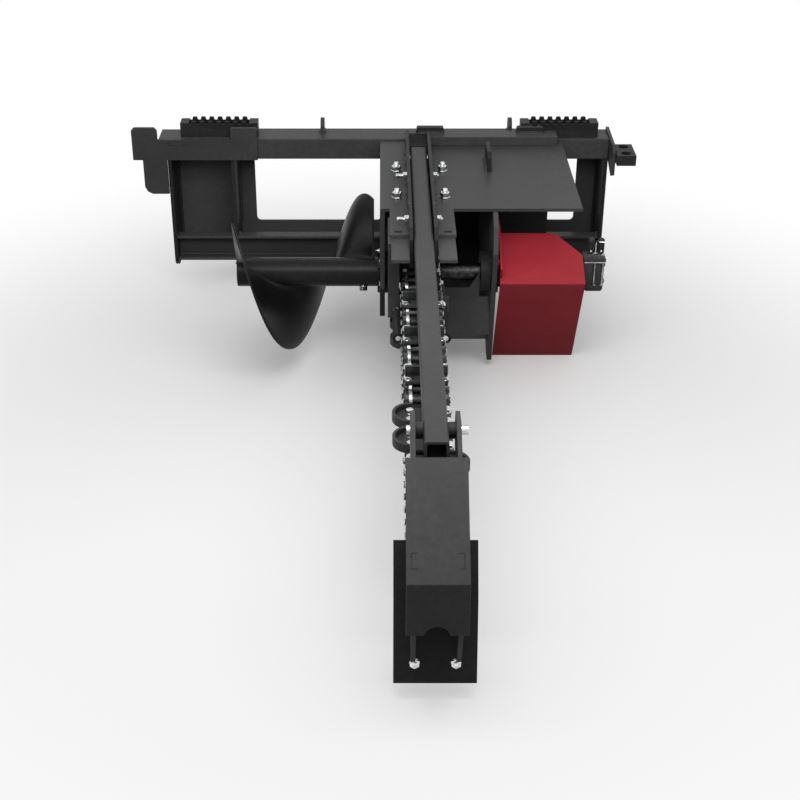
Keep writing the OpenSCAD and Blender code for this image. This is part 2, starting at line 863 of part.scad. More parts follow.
// Every fourth link carries a straight cutter, and each half of the chain has three wide cups.
function in_half(i) = i % (chain_links / 2);
straight_links = [for (i = [0 : chain_links - 1]) if (in_half(i) % 4 == 3 && in_half(i) < 19) i,
    for (i = [0 : chain_links - 1]) if (in_half(i) == 27) i];
cup_links = [for (i = [0 : chain_links - 1]) if (in_half(i) == 19 || in_half(i) == 21 || in_half(i) == 23) i];
cutter_links = concat(straight_links, cup_links);
seat = link_h / 2;
seat_t = 8;
cup_r = 42;
cup_reach = 82;
cup_h = 14;
cup_wall = 7;
seat_over = 14;
bolt_z = 42;

module cutter_seat() {
    translate([-seat_over, -seat - seat_t, -outer_out])
        cube([chain_pitch + 2 * seat_over, seat_t, 2 * outer_out]);
}

module straight_cutter() {
    cutter_seat();
    translate([0, 0, -outer_out]) linear_extrude(2 * outer_out) polygon([
        [14, -seat - seat_t + 1], [36, -seat - seat_t + 1], [46, -seat - seat_t - 30],
        [38, -seat - seat_t - 30]
    ]);
}

// A cup is a half-round dish that reaches past the side of the chain.
module cup_cutter() {
    cutter_seat();
    translate([chain_pitch / 2, -seat, cup_reach - cup_r]) rotate([90, 0, 0]) difference() {
        cylinder(h = cup_h + seat_t, r = cup_r);
        translate([0, 0, seat_t]) cylinder(h = cup_h + 1, r = cup_r - cup_wall);
        translate([-cup_r - 1, -cup_r - 1, -1]) cube([2 * cup_r + 2, cup_r - 4, cup_h + seat_t + 2]);
    }
}

module cutters() {
    color(dark) {
        for (i = straight_links) on_link(i) straight_cutter();
        for (i = cup_links) on_link(i) mirror([0, 0, in_half(i) == 23 ? 0 : 1]) cup_cutter();
    }
}

// Two bolts on each side of a seat, drawn in from the wall where a cup covers them.
module cutter_bolts() {
    color(zinc) for (i = cutter_links, side = [-1, 1]) on_link(i) {
        inset = side == cup_side(i) ? 6 : 0;
        for (x = [inset, chain_pitch - inset]) translate([x, -seat - seat_t, side * bolt_z])
            rotate([90, 0, 0]) hex_head(19 - inset / 2, 9);
    }
}

// Which side of a link has a cup: 1 right, -1 left, 0 none.
function cup_side(i) = in_half(i) < 19 || in_half(i) > 23 ? 0 : in_half(i) == 23 ? 1 : -1;

// Head shaft, bearings and auger
module bearing(x0, x1) {
    color(dark) difference() {
        x_bar(x0, x1, bearing_d, -head_y, head_z);
        x_bar(x0 - 1, x1 + 1, shaft_d + 2 * run_gap, -head_y, head_z);
    }
}

module bearing_left() {
    bearing(housing_l0 + housing_t, housing_l0 + housing_t + bearing_w);
}

module bearing_right() {
    bearing(housing_r0 - bearing_w, housing_r0);
}

// Bolt heads on the outer faces of the two housing plates.
module bearing_bolts() {
    color(zinc) for (s = [-1, 1], a = [45 : 90 : 315])
        translate([s < 0 ? housing_l0 : housing_r1, -head_y, head_z]) rotate([a, 0, 0])
            translate([0, 0, bearing_bolt_r]) rotate([0, s * 90, 0]) hex_head(17, 7);
}

module hydraulic_motor() {
    c = 9;
    w = motor_block_w / 2;
    h = motor_block_h / 2;
    color(dark) {
        x_bar(housing_r1, motor_x0 + 1, motor_d, -head_y, head_z);
        yz_plate(motor_x0, motor_x1) translate([-head_y, head_z]) polygon([
            [-w, -h + c], [-w + c, -h], [w - c, -h], [w, -h + c],
            [w, h - c], [w - c, h], [-w + c, h], [-w, h - c]
        ]);
    }
}

module motor_ports() {
    color(zinc) for (x = port_x)
        translate([motor_x0 + x, -head_y, head_z + motor_block_h / 2]) difference() {
            cylinder(h = port_h, d = port_d);
            translate([0, 0, port_h - 24]) cylinder(h = 25, d = port_d - 7);
        }
}

// The guard is one sheet with a right-angle bend, tilted as a whole, on two spacers.
module motor_guard() {
    w = guard_x1 - guard_x0;
    flange_h = 40;
    color(red) translate([guard_x0, guard_bend[0], guard_bend[1]]) rotate([guard_tilt, 0, 0]) {
        translate([0, 0, -guard_t]) linear_extrude(guard_t) polygon([
            [0, 0], [w, 0], [w, guard_top - guard_chamfer[1]],
            [w - guard_chamfer[0], guard_top], [0, guard_top]
        ]);
        block([0, 0, -guard_front], [w, guard_t, 0]);
        block([0, 18, -guard_t], [guard_t, guard_top + 16, flange_h]);
        for (y = [60, 160]) x_bar(guard_x0 - housing_r1 - 16, 1, 18, y, flange_h / 2);
    }
}

module head_shaft() {
    color(steel) x_bar(auger_right - 70, housing_r1 - 1, shaft_d, -head_y, head_z);
}

module drive_sprocket() {
    w = roller_half_w - 5;
    color(steel) yz_plate(chain_x - w, chain_x + w) translate([-head_y, head_z]) difference() {
        circle(pitch_r + tooth_over);
        for (i = [0 : sprocket_teeth - 1]) rotate(90 + i * 360 / sprocket_teeth)
            translate([pitch_r, 0]) circle(d = roller_d + 2 * gap);
        circle(d = shaft_d + 2 * run_gap);
    }
}

module auger_pipe() {
    color(black) difference() {
        x_bar(auger_left, auger_right, pipe_d, -head_y, head_z);
        x_bar(auger_left - 1, auger_right + 1, shaft_d + 2 * run_gap, -head_y, head_z);
    }
}

// Points of one ring of the flight: root and rim, both faces.
function flight_ring(k) =
    let (x = auger_left + 6 + k * (auger_len - 26) / flight_steps,
        a = flight_phase + (x - flight_phase_x) / flight_pitch * 360,
        c = cos(a), s = sin(a), r0 = pipe_d / 2 + gap, r1 = auger_d / 2)
    [[x, r0 * c, r0 * s], [x, r1 * c, r1 * s],
        [x + flight_t, r1 * c, r1 * s], [x + flight_t, r0 * c, r0 * s]];

module auger_flight() {
    points = [for (k = [0 : flight_steps], p = flight_ring(k)) p];
    sides = [for (k = [0 : flight_steps - 1], j = [0 : 3], f = [0, 1])
        f == 0 ? [4 * k + j, 4 * k + (j + 1) % 4, 4 * k + 4 + (j + 1) % 4]
            : [4 * k + j, 4 * k + 4 + (j + 1) % 4, 4 * k + 4 + j]];
    last = 4 * flight_steps;
    color(black) translate([0, -head_y, head_z])
        polyhedron(points, concat([[3, 2, 1, 0]], sides, [[last, last + 1, last + 2, last + 3]]),
            convexity = 6);
}

module auger_bolt() {
    color(zinc) translate([auger_right - 45, -head_y, head_z]) rotate([150, 0, 0])
        translate([0, 0, pipe_d / 2]) hex_head(22, 14);
}

module nose_roller() {
    w = boom_w / 2 - 8 - fork_t - 1;
    color(steel) difference() {
        x_bar(chain_x - w, chain_x + w, 2 * nose_roller_r, nose_c[0], head_z);
        x_bar(chain_x - w - 1, chain_x + w + 1, nose_axle_d, nose_c[0], head_z);
    }
}

// Crumber
module crumber_tube() {
    t = tube_w / 2;
    color(black) difference() {
        xz_tube(t);
        x_bar(boom_x - t - 1, boom_x + t + 1, tube_pin_d + 2 * run_gap, tube_pin_y, tube_z);
        x_bar(boom_x - t - 1, boom_x + t + 1, shoe_pin_d, shoe_pin_y, tube_z);
    }
}

module xz_tube(t) {
    xz_plate(tube_front, tube_back) difference() {
        round_rect([boom_x - t, tube_z - t], [boom_x + t, tube_z + t], 8);
        round_rect([boom_x - t + tube_wall, tube_z - t + tube_wall],
            [boom_x + t - tube_wall, tube_z + t - tube_wall], 4);
    }
}

module crumber_pin() {
    color(zinc) {
        x_bar(boom_x - slot_half, boom_x + slot_half, tube_pin_d, tube_pin_y, tube_z);
    }
}

// Shoe bracket: a bent top plate on two side plates that reach back to the pin.
// A cross bar behind the pin and one in front of it both bear on the tube, so it can't tilt.
module shoe_bracket() {
    w = bracket_w / 2;
    color(black) difference() {
        union() {
            difference() {
                yz_plate(boom_x - w, boom_x + w) polygon([
                    bracket_back, bracket_bend, [bracket_bend[0], bracket_low],
                    [bracket_bend[0] + bracket_t, bracket_low],
                    [bracket_bend[0] + bracket_t, bracket_bend[1] - 6],
                    [bracket_back[0] + 5, bracket_back[1] - bracket_t]
                ]);
                y_bar(bracket_bend[0] - 1, bracket_bend[0] + bracket_t + 1, 52, boom_x, bracket_low - 4);
            }
            for (s = [-1, 1]) yz_plate(boom_x + (s > 0 ? side_in : -side_in - bracket_side_t),
                boom_x + (s > 0 ? side_in + bracket_side_t : -side_in)) polygon([
                [shoe_pin_y + 34, tube_z + 26], [shoe_pin_y - 20, tube_z + 30], bracket_back,
                [bracket_bend[0] + 4, bracket_bend[1]], [bracket_bend[0] + 4, bracket_low],
                [shoe_low[0] - 16, shoe_low[1] + 70], [shoe_low[0] - 4, shoe_low[1] + 60],
                shoe_crease, shoe_top, [shoe_top[0] + 20, shoe_top[1] + 72], [shoe_pin_y + 40, tube_z - 38]
            ]);
        }
        x_bar(boom_x - w - 1, boom_x + w + 1, shoe_pin_d, shoe_pin_y, tube_z);
    }
    bar_top_z = tube_z - tube_w / 2 - gap;
    color(black) for (y = [shoe_pin_y + 22, shoe_pin_y - 68])
        block([boom_x - side_in, y, bar_top_z - 10], [boom_x + side_in, y + 12, bar_top_z]);
}

// The direction square to a run of the shoe plate, towards its back.
function back_normal(run) = [run[1], -run[0]] / norm(run);

module shoe_plate() {
    w = shoe_w / 2;
    upper = back_normal(shoe_top - shoe_crease);
    lower = back_normal(shoe_crease - shoe_low);
    color(dark) yz_plate(boom_x - w, boom_x + w) polygon([
        shoe_top, shoe_crease, shoe_low, shoe_low + shoe_t * lower,
        shoe_crease + shoe_t * (upper + lower) / (1 + upper * lower), shoe_top + shoe_t * upper
    ]);
}

module shoe_pin() {
    color(zinc) x_bar(boom_x - side_in - bracket_side_t - 8, boom_x + side_in + bracket_side_t + 16,
        shoe_pin_d - 2 * run_gap, shoe_pin_y, tube_z);
}

// A ring on each side of the tube keeps the bracket in the middle.
module pin_spacers() {
    color(dark) for (s = [-1, 1]) difference() {
        x_bar(boom_x + (s > 0 ? tube_w / 2 + gap : -side_in),
            boom_x + (s > 0 ? side_in : -tube_w / 2 - gap), shoe_pin_d + 14, shoe_pin_y, tube_z);
        x_bar(boom_x - side_in - 1, boom_x + side_in + 1, shoe_pin_d, shoe_pin_y, tube_z);
    }
}

module shoe_bolts() {
    run = shoe_crease - shoe_low;
    place = shoe_low + 47 * run / norm(run);
    color(zinc) for (s = [-1, 1]) translate([boom_x + s * 43, place[0], place[1]])
        rotate([atan2(run[1], run[0]), 0, 0]) hex_head(19, 12);
}

back_panel();
top_rail();
lower_rail();
side_plate_left();
side_plate_right();
pocket_rib_left();
pocket_rib_right();
quick_attach_hook();
quick_attach_flange();
step_left();
step_right();
lug_plate_left();
end_plate_right();
coupler_holder();
lifting_eyes();
carriage_plate();
saddle();
stop_pads();
lower_guides();
deck_plate();
deck_lug();
housing_plate_left();
housing_plate_right();
boom_ear_left();
boom_ear_right();
boom_cover_left();
boom_cover_right();
clamp_bolts();
ear_bolts();
chute_plate();
boom_bar();
wear_strips();
nose_fork();
nose_axle();
tension_tubes();
tension_rods();
chain_inner_links();
chain_outer_links();
chain_rollers();
cutters();
cutter_bolts();
bearing_left();
bearing_right();
bearing_bolts();
hydraulic_motor();
motor_ports();
motor_guard();
head_shaft();
drive_sprocket();
auger_pipe();
auger_flight();
auger_bolt();
nose_roller();
crumber_tube();
crumber_pin();
shoe_bracket();
shoe_plate();
shoe_pin();
pin_spacers();
shoe_bolts();
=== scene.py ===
import bpy
import bmesh
import json
import math
import numpy
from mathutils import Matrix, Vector


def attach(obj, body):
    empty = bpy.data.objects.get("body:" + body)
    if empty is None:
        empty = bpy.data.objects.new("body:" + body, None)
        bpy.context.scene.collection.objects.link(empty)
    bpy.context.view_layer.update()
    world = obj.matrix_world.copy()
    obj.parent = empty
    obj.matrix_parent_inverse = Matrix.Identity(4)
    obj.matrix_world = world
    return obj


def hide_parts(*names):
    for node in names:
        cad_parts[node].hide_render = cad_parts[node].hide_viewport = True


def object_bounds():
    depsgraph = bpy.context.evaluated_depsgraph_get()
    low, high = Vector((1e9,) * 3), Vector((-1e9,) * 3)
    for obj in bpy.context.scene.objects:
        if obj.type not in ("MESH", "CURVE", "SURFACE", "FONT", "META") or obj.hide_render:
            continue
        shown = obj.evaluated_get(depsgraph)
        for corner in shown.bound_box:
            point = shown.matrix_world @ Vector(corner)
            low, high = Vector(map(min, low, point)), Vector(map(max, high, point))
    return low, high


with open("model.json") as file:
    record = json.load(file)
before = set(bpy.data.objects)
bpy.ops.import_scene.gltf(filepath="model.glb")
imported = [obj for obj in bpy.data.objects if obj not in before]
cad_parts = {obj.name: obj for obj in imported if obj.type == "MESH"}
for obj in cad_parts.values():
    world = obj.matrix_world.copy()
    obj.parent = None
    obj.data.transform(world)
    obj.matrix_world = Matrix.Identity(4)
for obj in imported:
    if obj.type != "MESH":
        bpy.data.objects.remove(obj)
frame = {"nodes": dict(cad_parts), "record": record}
cadLow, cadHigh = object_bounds()
nodes = frame["nodes"]
scene = bpy.context.scene
print("frame loaded:", len(nodes), "CAD pieces")

# camera and studio

cameraSetup = {
    "place": (-0.018, -4.459, 1.743),
    "tiltDown": 29.56,      # degrees below level, looking along +Y
    "lens": 65.07,          # mm
    "sensor": 36,           # mm
    "shiftX": 0.0225,
    "clipEnd": 100,
}


def placeCamera():
    data = bpy.data.cameras.new("studioCamera")
    data.sensor_width = cameraSetup["sensor"]
    data.lens = cameraSetup["lens"]
    data.shift_x = cameraSetup["shiftX"]
    data.clip_end = cameraSetup["clipEnd"]
    camera = bpy.data.objects.new("studioCamera", data)
    camera.location = cameraSetup["place"]
    camera.rotation_euler = (math.radians(90 - cameraSetup["tiltDown"]), 0, 0)
    scene.collection.objects.link(camera)
    scene.camera = camera


studio = {
    "floorColour": "#ffffff",   # the glowing far floor
    "mattColour": "#eeeeee",    # the near floor that takes the shadow
    "bounceColour": "#707070",  # what the floor throws back at the object
    "glowNear": 0.16,           # share of the floor that keeps its own tone, near the object
    "glowFar": 1.0,             # and far from it
    "glowReach": (0.5, 2.2),    # metres from the middle of the object
    "glowMiddle": (0.0, -1.0, 0.0),
    "floorHalf": 14.0,
    "floorGap": 0.001,
    "domeTop": 0.52,            # the dome's strength overhead
    "domeSide": 0.15,
    "domeFalloff": 2.0,
    "keyWatts": 29,
    "keySize": 2.2,
    "keyPlace": (0.1, -2.6, 2.7),
    "fillWatts": 21,
    "fillSize": (2.4, 0.7),
    "fillPlace": (0.0, -1.95, 1.3),
    "fillTilt": 56,             # degrees up from straight down, towards the frame
}


def toLinear(code):
    # sRGB hex to the linear values that the shader takes
    values = [int(code[i:i + 2], 16) / 255 for i in (1, 3, 5)]
    return [v / 12.92 if v <= 0.04045 else ((v + 0.055) / 1.055) ** 2.4 for v in values] + [1.0]


def addNode(tree, kind, inputs=None, **settings):
    # one node with its settings; an input is a value or another node's output
    node = tree.nodes.new(kind)
    for name, value in settings.items():
        setattr(node, name, value)
    for name, value in (inputs or {}).items():
        socket = node.inputs[name]
        if isinstance(value, bpy.types.NodeSocket):
            tree.links.new(value, socket)
        else:
            socket.default_value = value
    return node


def newMaterial(name):
    material = bpy.data.materials.new(name)
    material.use_nodes = True
    tree = material.node_tree
    tree.nodes.clear()
    shader = tree.nodes.new("ShaderNodeBsdfPrincipled")
    output = tree.nodes.new("ShaderNodeOutputMaterial")
    tree.links.new(shader.outputs["BSDF"], output.inputs["Surface"])
    place = addNode(tree, "ShaderNodeTexCoord")
    return material, tree, shader, place.outputs["Object"]


def seenDirectly(tree):
    # 1 where the camera or a reflection looks, 0 where light is only scattered
    path = addNode(tree, "ShaderNodeLightPath")
    rays = {0: path.outputs["Is Camera Ray"], 1: path.outputs["Is Glossy Ray"]}
    return addNode(tree, "ShaderNodeMath", rays, operation="MAXIMUM").outputs[0]


def buildFloor():
    lowest = cadLow.z - studio["floorGap"]
    bpy.ops.mesh.primitive_plane_add(size=2 * studio["floorHalf"], location=(0, 0, lowest))
    floor = bpy.context.object
    floor.name = "studioFloor"
    material = bpy.data.materials.new("matt white studio floor")
    material.use_nodes = True
    tree = material.node_tree
    tree.nodes.clear()
    matt = addNode(tree, "ShaderNodeBsdfDiffuse", {"Color": toLinear(studio["mattColour"])})
    glow = addNode(tree, "ShaderNodeEmission", {"Color": toLinear(studio["floorColour"]), "Strength": 1.0})
    spot = addNode(tree, "ShaderNodeNewGeometry")
    away = addNode(tree, "ShaderNodeVectorMath",
                   {0: spot.outputs["Position"], 1: studio["glowMiddle"]}, operation="DISTANCE")
    nearest, furthest = studio["glowReach"]
    reach = {"Value": away.outputs["Value"], "From Min": nearest, "From Max": furthest,
             "To Min": studio["glowNear"], "To Max": studio["glowFar"]}
    share = addNode(tree, "ShaderNodeMapRange", reach, interpolation_type="SMOOTHSTEP")
    pale = addNode(tree, "ShaderNodeMixShader",
                   {0: share.outputs[0], 1: matt.outputs[0], 2: glow.outputs[0]})
    dull = addNode(tree, "ShaderNodeBsdfDiffuse", {"Color": toLinear(studio["bounceColour"])})
    seen = seenDirectly(tree)
    mixed = addNode(tree, "ShaderNodeMixShader", {0: seen, 1: dull.outputs[0], 2: pale.outputs[0]})
    output = tree.nodes.new("ShaderNodeOutputMaterial")
    tree.links.new(mixed.outputs[0], output.inputs["Surface"])
    floor.data.materials.append(material)


def buildDome():
    # a soft dome, brightest overhead, that the camera and reflections see as plain white
    world = bpy.data.worlds.new("studioWorld")
    scene.world = world
    world.use_nodes = True
    tree = world.node_tree
    tree.nodes.clear()
    place = addNode(tree, "ShaderNodeTexCoord")
    parts = addNode(tree, "ShaderNodeSeparateXYZ", {0: place.outputs["Generated"]})
    height = addNode(tree, "ShaderNodeMath", {0: parts.outputs["Z"], 1: 0.0}, operation="MAXIMUM")
    falloff = addNode(tree, "ShaderNodeMath",
                      {0: height.outputs[0], 1: studio["domeFalloff"]}, operation="POWER")
    strength = {0: falloff.outputs[0], 1: studio["domeTop"], 2: studio["domeSide"]}
    level = addNode(tree, "ShaderNodeMath", strength, operation="MULTIPLY_ADD")
    soft = addNode(tree, "ShaderNodeBackground", {"Color": (1, 1, 1, 1), "Strength": level.outputs[0]})
    plain = addNode(tree, "ShaderNodeBackground", {"Color": (1, 1, 1, 1), "Strength": 1.0})
    seen = seenDirectly(tree)
    mixed = addNode(tree, "ShaderNodeMixShader", {0: seen, 1: soft.outputs[0], 2: plain.outputs[0]})
    output = tree.nodes.new("ShaderNodeOutputWorld")
    tree.links.new(mixed.outputs[0], output.inputs["Surface"])


def buildKey():
    light = bpy.data.lights.new("keyLight", "AREA")
    light.shape = "DISK"
    light.size = studio["keySize"]
    light.energy = studio["keyWatts"]
    lamp = bpy.data.objects.new("keyLight", light)
    lamp.location = studio["keyPlace"]
    scene.collection.objects.link(lamp)


def buildFill():
    # a long softbox over the boom that opens up the frame's panels
    light = bpy.data.lights.new("fillLight", "AREA")
    light.shape = "RECTANGLE"
    light.size, light.size_y = studio["fillSize"]
    light.energy = studio["fillWatts"]
    lamp = bpy.data.objects.new("fillLight", light)
    lamp.location = studio["fillPlace"]
    lamp.rotation_euler = (math.radians(studio["fillTilt"]), 0, 0)
    scene.collection.objects.link(lamp)


placeCamera()
buildFloor()
buildDome()
buildKey()
buildFill()
scene.view_settings.view_transform = "Standard"
print("camera and studio ready")

# materials

mm = 0.001
powder = {
    "peelMm": 7,            # orange peel is 2 to 3 mm, drawn coarser so that it shows
    "peelDepth": 0.25,
    "mottleMm": 240,        # dust and handling, a hand's width or more
    "stops": (0.3, 0.72),
    "darkShare": 0.86,
    "paleShare": 1.14,
    "swing": (-0.05, 0.07),     # how far the roughness goes either way
    "chipMm": 14,           # rubbed spots along the edges
    "edgeBend": (0.52, 0.62),
    "edgeLift": 0.35,
    "specular": 0.1,
}
zinc = {
    "spangleAndPaintedReflectionMm": 6,           # the plate's clouds are about 2 mm, drawn coarser; their dark patches are partly painted reflection
    # how dark the patches go: spangle, and painted reflection of a dark surround
    "darkShare": 0.55,
    "stops": (0.35, 0.65),
    "swing": (-0.06, 0.1),
}
millScale = {
    "patchMm": 18,          # flakes of scale, a finger's width
    "stops": (0.38, 0.64),
    "swing": (0.12, -0.08),
    "scratchMm": 3,         # scratches are under 1 mm wide, drawn coarser so that they show
    "scratchDepth": 0.2,
    "scratchStrength": 0.15,
}
nylon = {
    "sawMm": 9,             # saw lines are about 3 mm apart, drawn coarser
    "roughness": (0.42, 0.52),
}


def powderCoat(name, colour, roughness, edgeColour, peel=0.12):
    # polyester powder coat, sprayed and baked: satin, with faint orange peel and paler edges
    material, tree, shader, place = newMaterial(name)
    base = toLinear(colour)
    mottle = addNode(tree, "ShaderNodeTexNoise", {"Vector": place, "Scale": 1 / (powder["mottleMm"] * mm),
                                                  "Detail": 4.0, "Roughness": 0.55})
    shade = addNode(tree, "ShaderNodeValToRGB", {"Fac": mottle.outputs["Fac"]})
    shares = (powder["darkShare"], powder["paleShare"])
    for stop, spot, share in zip(shade.color_ramp.elements, powder["stops"], shares):
        stop.position = spot
        stop.color = [min(1, c * share) for c in base[:3]] + [1]
    surface = addNode(tree, "ShaderNodeNewGeometry")
    bendLow, bendHigh = powder["edgeBend"]
    edge = addNode(tree, "ShaderNodeMapRange", {"Value": surface.outputs["Pointiness"],
                                                "From Min": bendLow, "From Max": bendHigh})
    chips = addNode(tree, "ShaderNodeTexNoise", {"Vector": place, "Scale": 1 / (powder["chipMm"] * mm),
                                                 "Detail": 5.0})
    rubbed = {0: edge.outputs[0], 1: chips.outputs["Fac"]}
    worn = addNode(tree, "ShaderNodeMath", rubbed, operation="MULTIPLY")
    lift = addNode(tree, "ShaderNodeMath",
                   {0: worn.outputs[0], 1: powder["edgeLift"]}, operation="MULTIPLY")
    mixed = addNode(tree, "ShaderNodeMixRGB", {"Fac": lift.outputs[0], "Color1": shade.outputs["Color"],
                                               "Color2": toLinear(edgeColour)})
    tree.links.new(mixed.outputs["Color"], shader.inputs["Base Color"])
    glossy, matt = powder["swing"]
    sheen = addNode(tree, "ShaderNodeMapRange", {"Value": mottle.outputs["Fac"],
                                                 "To Min": roughness + glossy, "To Max": roughness + matt})
    tree.links.new(sheen.outputs[0], shader.inputs["Roughness"])
    skin = addNode(tree, "ShaderNodeTexNoise", {"Vector": place, "Scale": 1 / (powder["peelMm"] * mm),
                                                "Detail": 2.0})
    bump = addNode(tree, "ShaderNodeBump", {"Height": skin.outputs["Fac"], "Strength": peel,
                                            "Distance": powder["peelDepth"] * mm})
    tree.links.new(bump.outputs["Normal"], shader.inputs["Normal"])
    shader.inputs["IOR"].default_value = 1.5
    shader.inputs["Specular IOR Level"].default_value = powder["specular"]
    return material


def platedZinc(name, colour, roughness):
    # bright zinc plate on steel: a cold silver with faint cloudy spangle, darkened in patches as a painted
    # reflection of a dark surround
    material, tree, shader, place = newMaterial(name)
    base = toLinear(colour)
    cloud = addNode(tree, "ShaderNodeTexNoise", {"Vector": place, "Scale": 1 / (zinc["spangleAndPaintedReflectionMm"] * mm),
                                                 "Detail": 3.0})
    shade = addNode(tree, "ShaderNodeValToRGB", {"Fac": cloud.outputs["Fac"]})
    for stop, spot, share in zip(shade.color_ramp.elements, zinc["stops"], (zinc["darkShare"], 1.0)):
        stop.position = spot
        stop.color = [c * share for c in base[:3]] + [1]
    tree.links.new(shade.outputs["Color"], shader.inputs["Base Color"])
    glossy, matt = zinc["swing"]
    sheen = addNode(tree, "ShaderNodeMapRange", {"Value": cloud.outputs["Fac"],
                                                 "To Min": roughness + glossy, "To Max": roughness + matt})
    tree.links.new(sheen.outputs[0], shader.inputs["Roughness"])
    shader.inputs["Metallic"].default_value = 1.0
    return material


def rolledSteel(name, colour, scaleColour, roughness):
    # hot-rolled and oiled steel: dark mill scale rubbed brighter where pieces run
    material, tree, shader, place = newMaterial(name)
    patches = addNode(tree, "ShaderNodeTexNoise",
                      {"Vector": place, "Scale": 1 / (millScale["patchMm"] * mm),
                       "Detail": 6.0, "Roughness": 0.62})
    shade = addNode(tree, "ShaderNodeValToRGB", {"Fac": patches.outputs["Fac"]})
    for stop, spot, tone in zip(shade.color_ramp.elements, millScale["stops"], (scaleColour, colour)):
        stop.position = spot
        stop.color = toLinear(tone)
    tree.links.new(shade.outputs["Color"], shader.inputs["Base Color"])
    matt, glossy = millScale["swing"]
    sheen = addNode(tree, "ShaderNodeMapRange", {"Value": patches.outputs["Fac"],
                                                 "To Min": roughness + matt, "To Max": roughness + glossy})
    tree.links.new(sheen.outputs[0], shader.inputs["Roughness"])
    scratch = addNode(tree, "ShaderNodeTexNoise",
                      {"Vector": place, "Scale": 1 / (millScale["scratchMm"] * mm), "Detail": 3.0})
    bump = addNode(tree, "ShaderNodeBump",
                   {"Height": scratch.outputs["Fac"], "Strength": millScale["scratchStrength"],
                    "Distance": millScale["scratchDepth"] * mm})
    tree.links.new(bump.outputs["Normal"], shader.inputs["Normal"])
    shader.inputs["Metallic"].default_value = 1.0
    return material


def castNylon(name, colour):
    # cast nylon, sawn to size: a soft off-white with a faint saw grain
    material, tree, shader, place = newMaterial(name)
    grain = addNode(tree, "ShaderNodeTexWave", {"Vector": place, "Scale": 1 / (nylon["sawMm"] * mm),
                                                "Distortion": 2.0})
    smoothest, roughest = nylon["roughness"]
    shade = addNode(tree, "ShaderNodeMapRange", {"Value": grain.outputs["Fac"], "To Min": smoothest,
                                                 "To Max": roughest})
    tree.links.new(shade.outputs[0], shader.inputs["Roughness"])
    shader.inputs["Base Color"].default_value = toLinear(colour)
    shader.inputs["IOR"].default_value = 1.53
    return material


# the frame's plates: a soft grey sheen on black
blackCoat = powderCoat("black powder coat, satin", "#3b3b3c", 0.42, "#8b8b8a")
# wide sheets: duller, and paler as painted light for the light that falls on the back panel, chute and
# housing plate; dust lies on them too
panelCoat = powderCoat("black powder coat, thin, dusty and painted paler on sheet", "#464647", 0.5, "#8b8b8a")
# cut plates and castings: nearly black; also laid on plates that sit in shade, as painted shade
darkCoat = powderCoat("black machinery enamel", "#202021", 0.46, "#6f6f6e", peel=0.16)
# the motor's guard: a deep wine red with a low gloss
redCoat = powderCoat("dark red machinery enamel", "#a02c36", 0.4, "#b8585f", peel=0.14)
# fasteners: small cold highlights against the black
zincPlate = platedZinc("bright zinc plate", "#eceef0", 0.2)
# the parts that are left bare and oiled: a mid grey with dark patches
chainSteel = rolledSteel("oiled rolled steel", "#8f9194", "#3b3a39", 0.38)
# axle, roller and tie bolts: even and pale
turnedSteel = rolledSteel("turned steel, oiled", "#b4b6b8", "#7d7e80", 0.26)
# wear strips: a warm off-white
guideNylon = castNylon("cast nylon, natural", "#e4e1d6")
# coated beads: glossier than the plate, and lumpy
weldCoat = powderCoat("black powder coat over weld", "#323233", 0.36, "#8b8b8a", peel=0.3)
# the auger: the blackest and glossiest paint, with soft highlights along its curve
augerCoat = powderCoat("black gloss enamel on the auger", "#151516", 0.3, "#77726c")
augerWeld = powderCoat("black gloss enamel over weld", "#18181a", 0.32, "#77726c", peel=0.3)
# the motor: paint on a sand casting, so the skin is coarse
motorCoat = powderCoat("black cast iron paint on the motor", "#262627", 0.34, "#9b9b99", peel=0.4)
# inner links and pin heads: pale, dry and bright
brightSteel = rolledSteel("shot-blasted link steel", "#d4d6d8", "#8e9092", 0.34)
# outer links, rollers and sprocket: blue-black with a dull shine
darkSteel = rolledSteel("hardened black steel", "#4a4a4b", "#262627", 0.42)
print("materials ready")

# every CAD piece gets its finish, some a darker or paler coat as painted shade or painted light, and
# plates get broken edges

finishes = {
    "black_paint": blackCoat,
    "dark_paint": darkCoat,
    "red_paint": redCoat,
    "zinc": zincPlate,
    "steel": chainSteel,
    "guide_plastic": guideNylon,
}
slotOf = {item["node"]: item["material_slot"] for item in frame["record"]["subparts"]}
bodyOf = {n: b for b, ns in frame["record"]["behaviour"]["bodies"].items() for n in ns}
ownFinishOrPaintedLight = {
    "head_shaft": darkSteel, "drive_sprocket": darkSteel,
    "nose_axle": turnedSteel, "nose_roller": turnedSteel,
    "auger_pipe": augerCoat, "auger_flight": augerCoat,
    "chain_inner_links": brightSteel, "chain_outer_links": darkSteel, "chain_rollers": darkSteel,
    # darkCoat on shoe_plate, the steps, the pocket ribs and the side plates is painted shade for the shade
    # they sit in; panelCoat, paler, on back_panel, chute_plate and housing_plate_right is painted light
    "cutters": blackCoat, "shoe_plate": darkCoat, "back_panel": panelCoat, "chute_plate": panelCoat,
    "step_left": darkCoat, "step_right": darkCoat, "stop_pads": darkCoat,
    "pocket_rib_left": darkCoat, "pocket_rib_right": darkCoat,
    "side_plate_left": darkCoat, "side_plate_right": darkCoat,
    "boom_ear_left": darkCoat, "boom_ear_right": darkCoat, "housing_plate_right": panelCoat,
}


def finishOrPaintedLightFor(name):
    return ownFinishOrPaintedLight.get(name, finishes[slotOf[name]])


for name, obj in nodes.items():
    obj.data.materials.clear()
    obj.data.materials.append(finishOrPaintedLightFor(name))


